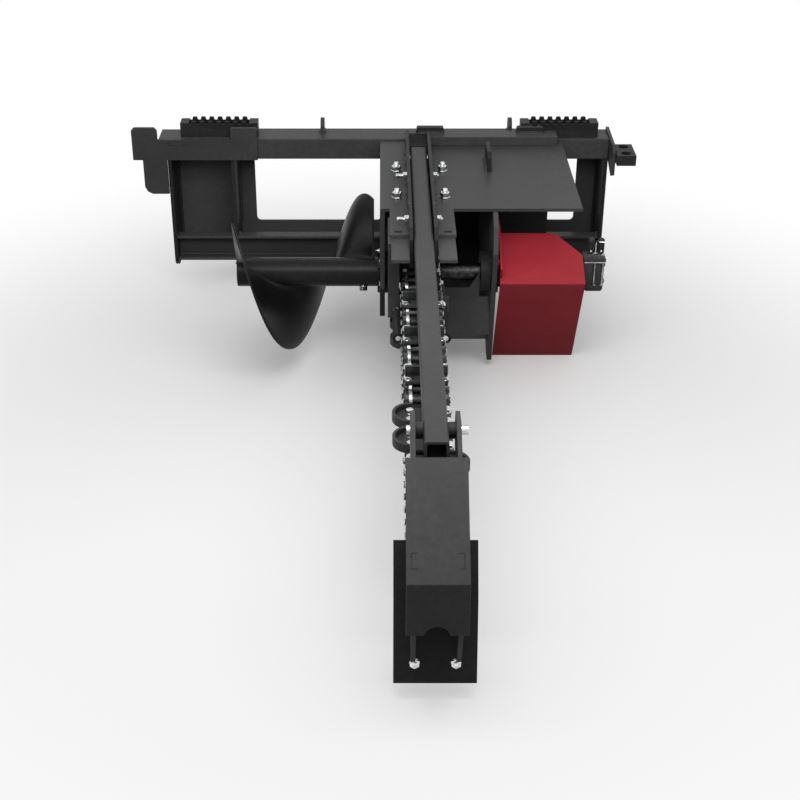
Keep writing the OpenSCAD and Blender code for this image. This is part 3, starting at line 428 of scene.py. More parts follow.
def smoothByAngle(mesh, degrees):
    bm = bmesh.new()
    bm.from_mesh(mesh)
    for face in bm.faces:
        face.smooth = True
    limit = math.radians(degrees)
    for edge in bm.edges:
        edge.smooth = len(edge.link_faces) == 2 and edge.calc_face_angle(0.0) < limit
    bm.to_mesh(mesh)
    bm.free()


def newPiece(name, mesh, body, material, smoothAngle=35):
    mesh.materials.clear()
    mesh.materials.append(material)
    smoothByAngle(mesh, smoothAngle)
    piece = bpy.data.objects.new(name, mesh)
    scene.collection.objects.link(piece)
    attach(piece, body)
    return piece


def meshFrom(bm, name):
    mesh = bpy.data.meshes.new(name)
    bm.normal_update()
    bm.to_mesh(mesh)
    bm.free()
    return mesh


def boxOf(points):
    lowest = Vector([min(p[k] for p in points) for k in range(3)])
    highest = Vector([max(p[k] for p in points) for k in range(3)])
    return lowest, highest


def span(node):
    # the two corners of a CAD piece's box, in mm
    corners = boxOf([vert.co for vert in nodes[node].data.vertices])
    return [[round(value / mm, 1) for value in corner] for corner in corners]


def cleanCopy(node):
    # the CAD piece's mesh with its doubled points joined and its flat faces whole again
    bm = bmesh.new()
    bm.from_mesh(nodes[node].data)
    bmesh.ops.remove_doubles(bm, verts=bm.verts, dist=1e-6)
    bmesh.ops.dissolve_limit(bm, angle_limit=math.radians(0.4), verts=bm.verts, edges=bm.edges,
                             delimit={"NORMAL"})
    return bm


def roundEdges(piece, widthMm, angle):
    bevel = piece.modifiers.new("brokenEdge", "BEVEL")
    bevel.width = widthMm * mm
    bevel.segments = 2
    bevel.limit_method = "ANGLE"
    bevel.angle_limit = math.radians(angle)
    bevel.harden_normals = True


def breakEdges(node, widthMm, angle=32):
    # the CAD plate again with its sharp edges broken, as after blasting and coating
    name = node + "_edges"
    mesh = meshFrom(cleanCopy(node), name)
    piece = newPiece(name, mesh, bodyOf[node], finishOrPaintedLightFor(node), angle)
    roundEdges(piece, widthMm, angle)
    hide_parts(node)


brokenEdges = {
    "back_panel": 1.0, "top_rail": 4.0, "lower_rail": 3.0, "side_plate_left": 1.2, "side_plate_right": 1.2,
    "pocket_rib_left": 1.2, "pocket_rib_right": 1.2, "quick_attach_hook": 1.5, "quick_attach_flange": 1.2,
    "step_left": 0.9, "step_right": 0.9, "lug_plate_left": 1.2, "end_plate_right": 1.2,
    "coupler_holder": 2.0, "lifting_eyes": 1.2, "carriage_plate": 1.2, "saddle": 1.5, "stop_pads": 1.5,
    "lower_guides": 1.0, "deck_plate": 1.2, "deck_lug": 1.2, "housing_plate_left": 1.2,
    "housing_plate_right": 1.2, "boom_ear_left": 1.2, "boom_ear_right": 1.2, "boom_cover_left": 1.2,
    "boom_cover_right": 1.2, "chute_plate": 1.0, "boom_bar": 1.5, "wear_strips": 0.8, "nose_fork": 1.0,
    "shoe_bracket": 1.4, "shoe_plate": 1.4, "crumber_tube": 1.0, "chain_outer_links": 1.0,
    "chain_inner_links": 0.8, "cutters": 1.0, "bearing_left": 1.5, "bearing_right": 1.5,
    "tension_tubes": 1.0, "head_shaft": 1.0, "auger_pipe": 1.0,
}
for node, width in brokenEdges.items():
    breakEdges(node, width)
print("edges broken on", len(brokenEdges), "pieces")

# turned and hexagonal forms

left, right, front, back, up, down = (-1, 0, 0), (1, 0, 0), (0, -1, 0), (0, 1, 0), (0, 0, 1), (0, 0, -1)
tubeLow, tubeHigh = span("crumber_tube")
boomX = (tubeLow[0] + tubeHigh[0]) / 2          # mm, as all sizes below
rollerLow, rollerHigh = span("chain_rollers")
chainX = (rollerLow[0] + rollerHigh[0]) / 2
shaftLow, shaftHigh = span("head_shaft")
shaftY = (shaftLow[1] + shaftHigh[1]) / 2
shaftZ = (shaftLow[2] + shaftHigh[2]) / 2
axleLow, axleHigh = span("nose_axle")
noseY = round((axleLow[1] + axleHigh[1]) / 2, 1)
print("boom, chain, shaft and nose found at", boomX, chainX, shaftY, shaftZ, noseY)


def islandsOf(node):
    # the separate solids of a CAD piece, each as a list of its points
    bm = bmesh.new()
    bm.from_mesh(nodes[node].data)
    bmesh.ops.remove_doubles(bm, verts=bm.verts, dist=1e-6)
    bm.verts.index_update()
    bm.verts.ensure_lookup_table()
    seen = set()
    found = []
    for start in range(len(bm.verts)):
        if start in seen:
            continue
        seen.add(start)
        waiting = [bm.verts[start]]
        points = []
        while waiting:
            vert = waiting.pop()
            points.append(vert.co.copy())
            for edge in vert.link_edges:
                other = edge.other_vert(vert)
                if other.index not in seen:
                    seen.add(other.index)
                    waiting.append(other)
        found.append(points)
    bm.free()
    return found


def shortAxis(points):
    # the direction in which a flat solid, such as a bolt head, is thinnest
    cloud = numpy.array([list(p) for p in points])
    values, vectors = numpy.linalg.eigh(numpy.cov((cloud - cloud.mean(axis=0)).T))
    return Vector(vectors[:, 0]).normalized(), Vector(cloud.mean(axis=0))


def turn(bm, place, axis, profile, steps=24, side=None):
    # a form turned about an axis: (radius, height) pairs in mm, each a value or a function of the angle
    along = Vector(axis).normalized()
    first = Vector(side or (right if abs(along.x) < 0.8 else back))
    across = (first - along * first.dot(along)).normalized()
    upward = along.cross(across)
    rings = []
    for radius, height in profile:
        if radius == 0:
            rings.append([bm.verts.new(place + along * height * mm)])
            continue
        ring = []
        for k in range(steps):
            angle = 2 * math.pi * k / steps
            r = radius(angle) if callable(radius) else radius
            h = height(angle) if callable(height) else height
            outward = across * math.cos(angle) + upward * math.sin(angle)
            ring.append(bm.verts.new(place + (along * h + outward * r) * mm))
        rings.append(ring)
    for lower, upper in zip(rings, rings[1:]):
        for k in range(steps):
            n = (k + 1) % steps
            corners = [lower[k % len(lower)], lower[n % len(lower)],
                       upper[n % len(upper)], upper[k % len(upper)]]
            bm.faces.new(list(dict.fromkeys(corners)))


boltForm = {
    "crown": 0.95,          # the flat of a head or nut, as a share of its half width
    "chamfer": 30,          # degrees
    "washerEdge": 0.4,
    "pitch": 2.5,           # mm; 2 on the real bolts, drawn a little coarser so that it shows
    "threadDepth": 0.9,
}


def hexagon(bm, place, axis, across, height, chamferBoth=False, side=None):
    # a hexagon with the turned chamfer of a real bolt head or nut
    half = across / 2
    crown = half * boltForm["crown"]

    def corner(angle):
        return half / math.cos((angle + math.pi / 6) % (math.pi / 3) - math.pi / 6)

    def drop(angle):
        return (corner(angle) - crown) * math.tan(math.radians(boltForm["chamfer"]))

    def shoulder(angle):
        return height - drop(angle)

    foot = [(0, 0), (crown, 0), (corner, drop)] if chamferBoth else [(0, 0), (corner, 0)]
    turn(bm, place, axis, foot + [(corner, shoulder), (crown, height), (0, height)], 48, side)


def washer(bm, place, axis, diameter, height):
    r, edge = diameter / 2, boltForm["washerEdge"]
    profile = [(0, 0), (r - edge, 0), (r, edge), (r, height - edge), (r - edge, height), (0, height)]
    turn(bm, place, axis, profile, 32)


def thread(bm, place, axis, diameter, length, pitch=boltForm["pitch"]):
    r = diameter / 2
    profile = [(0, 0), (r, 0)]
    turns = max(1, int((length - 1.5) / pitch))
    for k in range(turns):
        profile += [(r, k * pitch + 0.5), (r - boltForm["threadDepth"], (k + 0.5) * pitch + 0.25)]
    profile += [(r, turns * pitch + 0.3), (r - 1.4, length), (0, length)]
    turn(bm, place, axis, profile, 20)


def loft(bm, sections):
    # a closed body through a row of rings that have the same number of points
    count = len(sections[0])
    for near, far in zip(sections, sections[1:]):
        for k in range(count):
            n = (k + 1) % count
            bm.faces.new((near[k], near[n], far[n], far[k]))
    bm.faces.new(sections[0])
    bm.faces.new(list(reversed(sections[-1])))


def roundLine(bm, path, radius, steps=12):
    # a small pipe bent along a path, both in mm
    rings = []
    for k, spot in enumerate(path):
        way = (path[min(k + 1, len(path) - 1)] - path[max(k - 1, 0)]).normalized()
        across = way.cross(Vector((0, 1, 0.01))).normalized()
        along = way.cross(across)
        ring = []
        for j in range(steps):
            angle = 2 * math.pi * j / steps
            outward = across * math.cos(angle) + along * math.sin(angle)
            ring.append(bm.verts.new((spot + outward * radius) * mm))
        rings.append(ring)
    loft(bm, rings)


def filletSection(leg, bulge):
    # five points across a fillet weld: how far each is along one face, along the other, and its bulge
    for j in range(5):
        angle = j * math.pi / 8
        middle = math.sin(2 * angle)
        reach = leg / (math.cos(angle) + math.sin(angle)) * (1 + bulge * middle)
        yield reach * math.cos(angle), reach * math.sin(angle), middle


def closePiece(bm, name, body, material, replaced=None, angle=30):
    bmesh.ops.recalc_face_normals(bm, faces=bm.faces)
    piece = newPiece(name, meshFrom(bm, name), body, material, angle)
    if replaced:
        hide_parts(replaced)
    return piece


# fasteners, each set built over the solids of its CAD piece

# mm: Across is over the flats, a washer is its diameter and thickness, a stud its diameter and length
fasteners = {
    "clampAcross": 24, "clampNut": 13, "clampWasher": (30, 3), "clampStud": (16, 10),
    "earAcross": 19, "earNut": 12, "earPlate": 10, "earStud": 12.6,
    "bearingAcross": 17, "bearingHead": 7, "bearingWasher": (22, 1.6),
    "flatWasher": 1.4, "washerShare": 1.12, "flatStud": 4,
    "rodDiameter": 14, "rodPitch": 3.0, "rodAcross": 24, "rodNut": 12, "longNut": 18,
    "longNutY": -958, "rodNutY": -925, "shortRodEnd": -900,
}


def sidewaysFrom(middle):
    # the direction away from the boom, and whether that is to the left
    onLeft = middle.x < boomX * mm
    return Vector(left if onLeft else right), onLeft


def buildClampBolts():
    bm = bmesh.new()
    axis = Vector(up)
    for points in islandsOf("clamp_bolts"):
        lowest, highest = boxOf(points)
        foot = Vector(((lowest.x + highest.x) / 2, (lowest.y + highest.y) / 2, lowest.z))
        washer(bm, foot, axis, *fasteners["clampWasher"])
        seat = foot + axis * fasteners["clampWasher"][1] * mm
        hexagon(bm, seat, axis, fasteners["clampAcross"], fasteners["clampNut"], side=(0.8, 0.6, 0))
        thread(bm, seat + axis * fasteners["clampNut"] * mm, axis, *fasteners["clampStud"])
    closePiece(bm, "clamp_nuts", "carriage", zincPlate, "clamp_bolts")


def buildEarBolts():
    bm = bmesh.new()
    thick = fasteners["earPlate"]
    stud = fasteners["earStud"]
    nut = fasteners["earNut"]
    for points in islandsOf("ear_bolts"):
        lowest, highest = boxOf(points)
        middle = (lowest + highest) / 2
        axis, onLeft = sidewaysFrom(middle)
        faceX = highest.x - thick * mm if onLeft else lowest.x + thick * mm
        face = Vector((faceX, middle.y, middle.z))
        turn(bm, face - axis * thick * mm, axis, [(0, 0), (stud / 2, 0), (stud / 2, thick)])
        hexagon(bm, face, axis, fasteners["earAcross"], nut, side=(0, 0.5, 0.87))
        reach = (highest.x - lowest.x) / mm - thick - nut
        thread(bm, face + axis * nut * mm, axis, stud, reach)
    closePiece(bm, "ear_bolt_set", "carriage", zincPlate, "ear_bolts")


def buildBearingBolts():
    bm = bmesh.new()
    thick = fasteners["bearingWasher"][1]
    for points in islandsOf("bearing_bolts"):
        lowest, highest = boxOf(points)
        middle = (lowest + highest) / 2
        axis, onLeft = sidewaysFrom(middle)
        face = Vector((highest.x if onLeft else lowest.x, middle.y, middle.z))
        washer(bm, face, axis, *fasteners["bearingWasher"])
        head = fasteners["bearingHead"] - thick
        hexagon(bm, face + axis * thick * mm, axis, fasteners["bearingAcross"], head)
    closePiece(bm, "bearing_bolt_heads", "carriage", darkSteel, "bearing_bolts")


def buildFlatHeads(node, name, body, outward, stud=0):
    # short hexagon heads whose axis is their thin direction, turned the way outward() says
    bm = bmesh.new()
    thick = fasteners["flatWasher"]
    studOut = fasteners["flatStud"] if stud else 0
    for points in islandsOf(node):
        axis, middle = shortAxis(points)
        if axis.dot(outward(middle)) < 0:
            axis = -axis
        height = 2 * max(abs((p - middle).dot(axis)) for p in points)
        radius = max((p - middle - axis * (p - middle).dot(axis)).length for p in points)
        foot = middle - axis * height / 2
        side = points[0] - middle
        side = side - axis * side.dot(axis)
        across = 2 * radius * math.cos(math.pi / 6) / mm
        washer(bm, foot, axis, across * fasteners["washerShare"], thick)
        hexagon(bm, foot + axis * thick * mm, axis, across, height / mm - thick - studOut, side=side)
        if stud:
            thread(bm, foot + axis * (height - studOut * mm), axis, stud, studOut)
    closePiece(bm, name, body, zincPlate, node)


def outFromChain(point):
    nearest = min(max(point.y, noseY * mm), shaftY * mm)
    return Vector((0, point.y - nearest, point.z - shaftZ * mm))


def outFromShaft(point):
    return Vector((0, point.y - shaftY * mm, point.z - shaftZ * mm))


def outFromShoe(point):
    return Vector((0, -1, 0.2))


def buildTensionRods():
    bm = bmesh.new()
    axis = Vector(back)
    across = fasteners["rodAcross"]
    for points in islandsOf("tension_rods"):
        lowest, highest = boxOf(points)
        x = (lowest.x + highest.x) / 2
        z = (lowest.z + highest.z) / 2
        length = (highest.y - lowest.y) / mm
        thread(bm, Vector((x, lowest.y, z)), axis, fasteners["rodDiameter"], length, fasteners["rodPitch"])
        hexagon(bm, Vector((x, fasteners["longNutY"] * mm, z)), axis, across, fasteners["longNut"], True)
        if highest.y < fasteners["shortRodEnd"] * mm:
            hexagon(bm, Vector((x, fasteners["rodNutY"] * mm, z)), axis, across, fasteners["rodNut"], True)
    closePiece(bm, "tension_rod_threads", "carriage", zincPlate, "tension_rods")


buildClampBolts()
buildEarBolts()
buildBearingBolts()
buildFlatHeads("cutter_bolts", "cutter_bolt_heads", "carriage", outFromChain)
buildFlatHeads("shoe_bolts", "shoe_bolt_heads", "crumber", outFromShoe, 11)
buildFlatHeads("auger_bolt", "auger_bolt_head", "headshaft", outFromShaft)
buildTensionRods()
print("fasteners built")

# auger flight, rolled from one strip and welded to its pipe

pipeLow, pipeHigh = span("auger_pipe")
flight = {
    "left": pipeLow[0],     # the strip starts at the pipe's end
    "length": 384,
    "pitch": 418,
    "thick": 6,
    "rootRadius": 41.3,
    "rimRadius": 222,
    "rimRound": 1.6,
    "phase": 240.4,         # degrees at phaseX
    "phaseX": -289.2,
    "steps": 260,
    "rings": 10,
    "beadLeg": 5,
    "beadBulge": 0.2,
    "beadSink": 0.3,
}


def flightPoint(x, radius, shift=0.0):
    angle = math.radians(flight["phase"] + (x - flight["phaseX"]) / flight["pitch"] * 360)
    y = shaftY + radius * math.cos(angle)
    z = shaftZ + radius * math.sin(angle)
    return Vector((x + shift, y, z)) * mm


def buildFlight():
    bm = bmesh.new()
    root, rim = flight["rootRadius"], flight["rimRadius"]
    thick, rounding = flight["thick"], flight["rimRound"]
    face = [root + (rim - rounding - root) * k / flight["rings"] for k in range(flight["rings"] + 1)]
    edge = [(rim - 0.4, 0.5), (rim, rounding), (rim, thick - rounding), (rim - 0.4, thick - 0.5)]
    outline = [(r, 0) for r in face] + edge + [(r, thick) for r in reversed(face)]
    sections = []
    for k in range(flight["steps"] + 1):
        x = flight["left"] + flight["length"] * k / flight["steps"]
        sections.append([bm.verts.new(flightPoint(x, r, shift)) for r, shift in outline])
    loft(bm, sections)
    closePiece(bm, "auger_flight_rolled", "headshaft", augerCoat, "auger_flight", 40)


def buildFlightWeld():
    # a bead on each side of the flight's root
    bm = bmesh.new()
    pipeFace = flight["rootRadius"] - flight["beadSink"]
    count = 2 * flight["steps"]
    for shift, direction in ((0, -1), (flight["thick"], 1)):
        sections = []
        for k in range(count + 1):
            x = flight["left"] + flight["length"] * k / count
            swell = 1 + 0.1 * math.sin(k * 2.1) + 0.05 * math.sin(k * 0.37)
            ring = []
            for sideways, out, middle in filletSection(flight["beadLeg"] * swell, flight["beadBulge"]):
                ring.append(bm.verts.new(flightPoint(x, pipeFace + out, shift + sideways * direction)))
            sections.append(ring)
        loft(bm, sections)
    closePiece(bm, "auger_flight_weld", "headshaft", augerWeld, None, 60)


buildFlight()
buildFlightWeld()
print("auger flight rolled")

# welds: each line is its start, its end, and the two directions away from the corner, in mm

weld = {
    "leg": 6.0,
    "ripple": 5.0,          # mm from one ripple to the next
    "samples": 4,           # sections in each ripple
    "bulge": 0.22,
    "lag": 1.4,             # how far a ripple trails at its middle
    "earStitches": 8, "earStitch": 52,
    "stepStitches": 3, "stepStitch": 40,
}


def weldBead(bm, start, end, faceA, faceB, leg):
    # a hand-laid fillet: slightly bulged, with a ripple every few mm and tapered ends
    first = Vector(start)
    along = (Vector(end) - first).normalized()
    length = (Vector(end) - first).length
    wayA, wayB = Vector(faceA).normalized(), Vector(faceB).normalized()
    count = max(6, int(length / weld["ripple"] * weld["samples"]))
    sections = []
    for k in range(count + 1):
        t = length * k / count
        taper = min(1.0, min(t, length - t) / leg + 0.35)
        wave = math.sin(2 * math.pi * t / weld["ripple"] + 1.3 * math.sin(t * 0.11))
        size = leg * taper * (1 + 0.07 * wave + 0.05 * math.sin(t * 0.23 + start[0] * 0.1))
        ring = []
        for outA, outB, middle in filletSection(size, weld["bulge"]):
            place = min(max(t + weld["lag"] * middle, 0), length)
            ring.append(bm.verts.new((first + along * place + wayA * outA + wayB * outB) * mm))
        sections.append(ring)
    loft(bm, sections)


def stitches(start, end, count, length):
    # evenly spaced short welds along a line
    first = Vector(start)
    along = (Vector(end) - first).normalized()
    gap = ((Vector(end) - first).length - count * length) / (count + 1)
    for k in range(count):
        begin = first + along * (gap + k * (length + gap))
        yield tuple(begin), tuple(begin + along * length)


weldPlaces = {
    "eyePlate": 12, "padWidth": 88,     # how wide one eye and one pad are
    "plateY": -690,                     # where the housing plate's bead starts, under the deck
    "chuteY": -721, "chuteZ": (-60, 78),
    "gussetX": (146, 156), "gussetY": -720, "gussetZ": (-54, -14),
    "earY": (-880, -200),
    "tubeOut": 30, "tubeY": (-1099, -1061), "tubeZ": 19,
    "bracketOut": 52, "bracketTop": (-1996, 203), "bracketFoot": (-2186, 44),
    "bracketLean": (0, 0.5, -0.86),
}


def addRun(lines, x, run, z, faceA, faceB):
    # a bead that runs from front to back
    lines.append(((x, run[0], z), (x, run[1], z), faceA, faceB))


def frameWelds():
    lines = []
    panelLow, panelHigh = span("back_panel")
    railLow, railHigh = span("top_rail")
    barLow, barHigh = span("lower_rail")
    eyeLow, eyeHigh = span("lifting_eyes")
    holderLow, holderHigh = span("coupler_holder")
    endLow, endHigh = span("end_plate_right")
    panelFace, panelFoot = panelLow[1], panelLow[2]
    railUnder, railTop = railLow[2], railHigh[2]
    railRun = (railLow[1], railHigh[1] - 2)
    barRun = (barLow[1] + 1, barHigh[1] - 1)
    eyeRun = (eyeLow[1] + 1, railHigh[1] - 1)
    eyePlate = weldPlaces["eyePlate"]

    def upright(x, foot, inward):
        lines.append(((x, panelFace, foot + 1), (x, panelFace, railUnder - 2), front, inward))

    sides = ((span("side_plate_left")[1][0], span("pocket_rib_left"), right),
             (span("side_plate_right")[0][0], span("pocket_rib_right"), left))
    for inside, (ribLow, ribHigh), inward in sides:
        upright(inside, panelFoot, inward)
        addRun(lines, inside, railRun, railUnder, down, inward)
        addRun(lines, inside, barRun, barHigh[2], up, inward)
        addRun(lines, inside, barRun, barLow[2], down, inward)
        for x, outward in ((ribLow[0], left), (ribHigh[0], right)):
            upright(x, barHigh[2], outward)
            addRun(lines, x, (ribLow[1] + 1, railRun[1]), railUnder, down, outward)
            addRun(lines, x, barRun, barHigh[2], up, outward)
    for eye in (eyeLow[0], eyeHigh[0] - eyePlate):
        addRun(lines, eye, eyeRun, railTop, left, up)
        addRun(lines, eye + eyePlate, eyeRun, railTop, right, up)
    for step in ("step_left", "step_right"):
        stepLow, stepHigh = span(step)
        begin = (stepLow[0], stepHigh[1], railTop)
        finish = (stepHigh[0], stepHigh[1], railTop)
        for part in stitches(begin, finish, weld["stepStitches"], weld["stepStitch"]):
            lines.append((*part, back, up))
    x, y = railLow[0], railLow[1]
    lines.append(((x, y, railUnder + 2), (x, y, railTop - 2), left, back))
    addRun(lines, holderLow[0], (endLow[1] + 1, holderHigh[1] - 1), holderHigh[2], up, right)
    addRun(lines, holderLow[0], (endLow[1] + 3, holderHigh[1] - 1), holderLow[2], down, right)
    reach = panelHigh[0] - 8
    lines.append(((-reach, panelFace, panelFoot), (reach, panelFace, panelFoot), front, down))
    return lines


def carriageWelds():
    lines = []
    lugLow, lugHigh = span("deck_lug")
    deckLow, deckHigh = span("deck_plate")
    plateLow, plateHigh = span("housing_plate_right")
    earLow, earHigh = span("boom_ear_left")
    padLow, padHigh = span("stop_pads")
    padWidth = weldPlaces["padWidth"]
    lugRun = (lugLow[1] + 1, lugHigh[1] - 1)
    addRun(lines, lugLow[0], lugRun, deckHigh[2], left, up)
    addRun(lines, lugHigh[0], lugRun, deckHigh[2], right, up)
    addRun(lines, plateHigh[0], (weldPlaces["plateY"], plateHigh[1] - 2), deckLow[2], right, down)
    x, y = plateLow[0], weldPlaces["chuteY"]
    foot, head = weldPlaces["chuteZ"]
    lines.append(((x, y, foot), (x, y, head), left, front))
    y = weldPlaces["gussetY"]
    foot, head = weldPlaces["gussetZ"]
    for x, outward in zip(weldPlaces["gussetX"], (left, right)):
        lines.append(((x, y, foot), (x, y, head), outward, front))
    earReach = boomX - earLow[0]
    earFront, earBack = weldPlaces["earY"]
    tubeOut, tubeY, tubeZ = weldPlaces["tubeOut"], weldPlaces["tubeY"], weldPlaces["tubeZ"]
    for side, outward in ((-1, left), (1, right)):
        x = boomX + side * earReach
        begin, finish = (x, earFront, deckHigh[2]), (x, earBack, deckHigh[2])
        for part in stitches(begin, finish, weld["earStitches"], weld["earStitch"]):
            lines.append((*part, outward, up))
        addRun(lines, chainX + side * tubeOut, tubeY, tubeZ, outward, down)
    for x in (padLow[0], padHigh[0] - padWidth):
        begin, finish = (x + 2, padLow[1], padLow[2]), (x + padWidth - 2, padLow[1], padLow[2])
        lines.append((begin, finish, front, up))
    return lines


def crumberWelds():
    lines = []
    for side, outward in ((-1, left), (1, right)):
        x = boomX + side * weldPlaces["bracketOut"]
        top, foot = (x, *weldPlaces["bracketTop"]), (x, *weldPlaces["bracketFoot"])
        lines.append((top, foot, outward, weldPlaces["bracketLean"]))
    return lines


def buildWelds(name, body, lines, leg):
    bm = bmesh.new()
    for start, end, faceA, faceB in lines:
        weldBead(bm, start, end, faceA, faceB, leg)
    closePiece(bm, name, body, weldCoat, None, 50)


buildWelds("frame_welds", "frame", frameWelds(), weld["leg"])
buildWelds("carriage_welds", "carriage", carriageWelds(), weld["leg"])
buildWelds("crumber_welds", "crumber", crumberWelds(), weld["leg"] - 1)
print("welds laid")

# motor: mounting flange, gear sections, end block with its cover bolts

motorLow, motorHigh = span("hydraulic_motor")
motor = {
    "start": motorLow[0], "blockStart": 554, "end": motorHigh[0],
    "bodyRadius": 42, "neckRadius": 37,
    "flange": (16, 41.5, 30),           # thickness, half depth, half height
    "waist": (44, 50, 51.5),            # where the neck ends and the body is full, from the flange's face
    "grooves": (96, 128, 176),
    "shoulder": 219,
    "boltCount": 7, "boltAcross": 9, "boltHead": 7, "boltIn": 6,
    "blockHalfDepth": 28, "blockHalfHeight": 51,
    "recessDepth": 5,
    "topPlate": 9, "gasket": 3.5, "lug": 22, "rearLength": 26,
    "tieRadius": 2.8, "tieIn": 3, "tieAcross": 9, "tieHead": 6, "tieX": (31, 54),
    "coverAcross": 13, "coverHead": 5, "coverY": (-14, 14), "coverZ": (-22, 30),
}


def addBlock(bm, low, high, chamfer=0.0, segments=1):
    # a block in mm with broken edges
    made = bmesh.ops.create_cube(bm, size=1.0)["verts"]
    size = [high[k] - low[k] for k in range(3)]
    middle = [(high[k] + low[k]) / 2 for k in range(3)]
    for vert in made:
        vert.co = Vector([(middle[k] + vert.co[k] * size[k]) * mm for k in range(3)])
    if chamfer:
        edges = list({edge for vert in made for edge in vert.link_edges})
        bmesh.ops.bevel(bm, geom=edges, offset=chamfer * mm, segments=segments, profile=0.5,
                        affect="EDGES")


def buildMotor():
    bm = bmesh.new()
    bright = bmesh.new()
    axis = Vector(right)
    start, block, end = motor["start"], motor["blockStart"], motor["end"]
    big, neck, shoulder = motor["bodyRadius"], motor["neckRadius"], motor["shoulder"]
    centre = Vector((0, shaftY, shaftZ))

    # the turned body, with the grooves where its sections are bolted together
    neckEnd, bodyStart, bodyFull = motor["waist"]
    profile = [(0, 0), (neck, 0), (neck, neckEnd), (big - 1.5, bodyStart), (big, bodyFull)]
    for x in motor["grooves"]:
        profile += [(big, x - 1.2), (big - 1.6, x), (big - 1.6, x + 1), (big, x + 2.2)]
    profile += [(big, shoulder - 3), (big - 2, shoulder), (neck, shoulder + 9)]
    profile += [(neck, block - start + 1), (0, block - start + 1)]
    turn(bm, (centre + axis * start) * mm, axis, profile, 64)
    thick, halfY, halfZ = motor["flange"]
    flangeLow = (start, shaftY - halfY, shaftZ - halfZ)
    addBlock(bm, flangeLow, (start + thick, shaftY + halfY, shaftZ + halfZ), 5, 3)
    for k in range(motor["boltCount"]):
        # through bolts round the gear sections
        angle = 2 * math.pi * (k + 0.5) / motor["boltCount"]
        spot = Vector((0, math.cos(angle), math.sin(angle))) * (neck - motor["boltIn"])
        spot += centre + axis * (start + shoulder)
        hexagon(bm, spot * mm, axis, motor["boltAcross"], motor["boltHead"])

    # the end block: core, top plate with a bright gasket under it, bottom lug, and the part by the body
    depth, height, recess = motor["blockHalfDepth"], motor["blockHalfHeight"], motor["recessDepth"]
    top, bottom = shaftZ + height, shaftZ - height
    underPlate, lugTop = top - motor["topPlate"], bottom + motor["lug"]
    faceY, rearY = shaftY - depth, shaftY + depth
    addBlock(bm, (block, faceY + recess, bottom + 6), (end - 3, rearY - recess, top - 4), 3, 2)
    addBlock(bm, (block, faceY, underPlate), (end, rearY, top), 1.2, 2)
    gasketLow = (block + 1, faceY - 0.3, underPlate - motor["gasket"])
    addBlock(bright, gasketLow, (end - 1, rearY + 0.3, underPlate + 0.2), 0.6)
    addBlock(bm, (block + 6, faceY + 1, bottom), (end - 4, rearY - 1, lugTop), 7, 2)
    rearHigh = (block + motor["rearLength"], rearY - 1, underPlate - 2)
    addBlock(bm, (block, faceY + 1, lugTop - 2), rearHigh, 3, 2)
    tie, tieFoot = motor["tieRadius"], lugTop - 1
    tieLength = underPlate - motor["gasket"] + 0.5 - tieFoot
    for x in motor["tieX"]:
        for side in (-1, 1):
            foot = Vector((block + x, shaftY + side * (depth - motor["tieIn"]), tieFoot))
            turn(bright, foot * mm, up, [(0, 0), (tie, 0), (tie, tieLength), (0, tieLength)], 16)
            hexagon(bright, (foot - Vector(up)) * mm, up, motor["tieAcross"], motor["tieHead"], True)
    for y in motor["coverY"]:
        for z in motor["coverZ"]:
            spot = Vector((end - 5.4, shaftY + y, shaftZ + z)) * mm
            hexagon(bm, spot, axis, motor["coverAcross"], motor["coverHead"])
    closePiece(bm, "motor_body", "carriage", motorCoat, "hydraulic_motor", 35)
    closePiece(bright, "motor_tie_bolts", "carriage", turnedSteel, None, 35)


hose = {
    "nutShare": 1.7, "nut": 7,
    "rings": 4, "firstRing": 15, "ringPitch": 7,
    # the painted highlight: a small bright dome on each sleeve's front
    "paintedGlintRadius": 2.4, "paintedGlintHeight": 17,
    "drainX": 588.4, "drainFoot": motorHigh[2], "drainTop": 115, "drainEnd": 612,
    "drainRadius": 2.0,
}


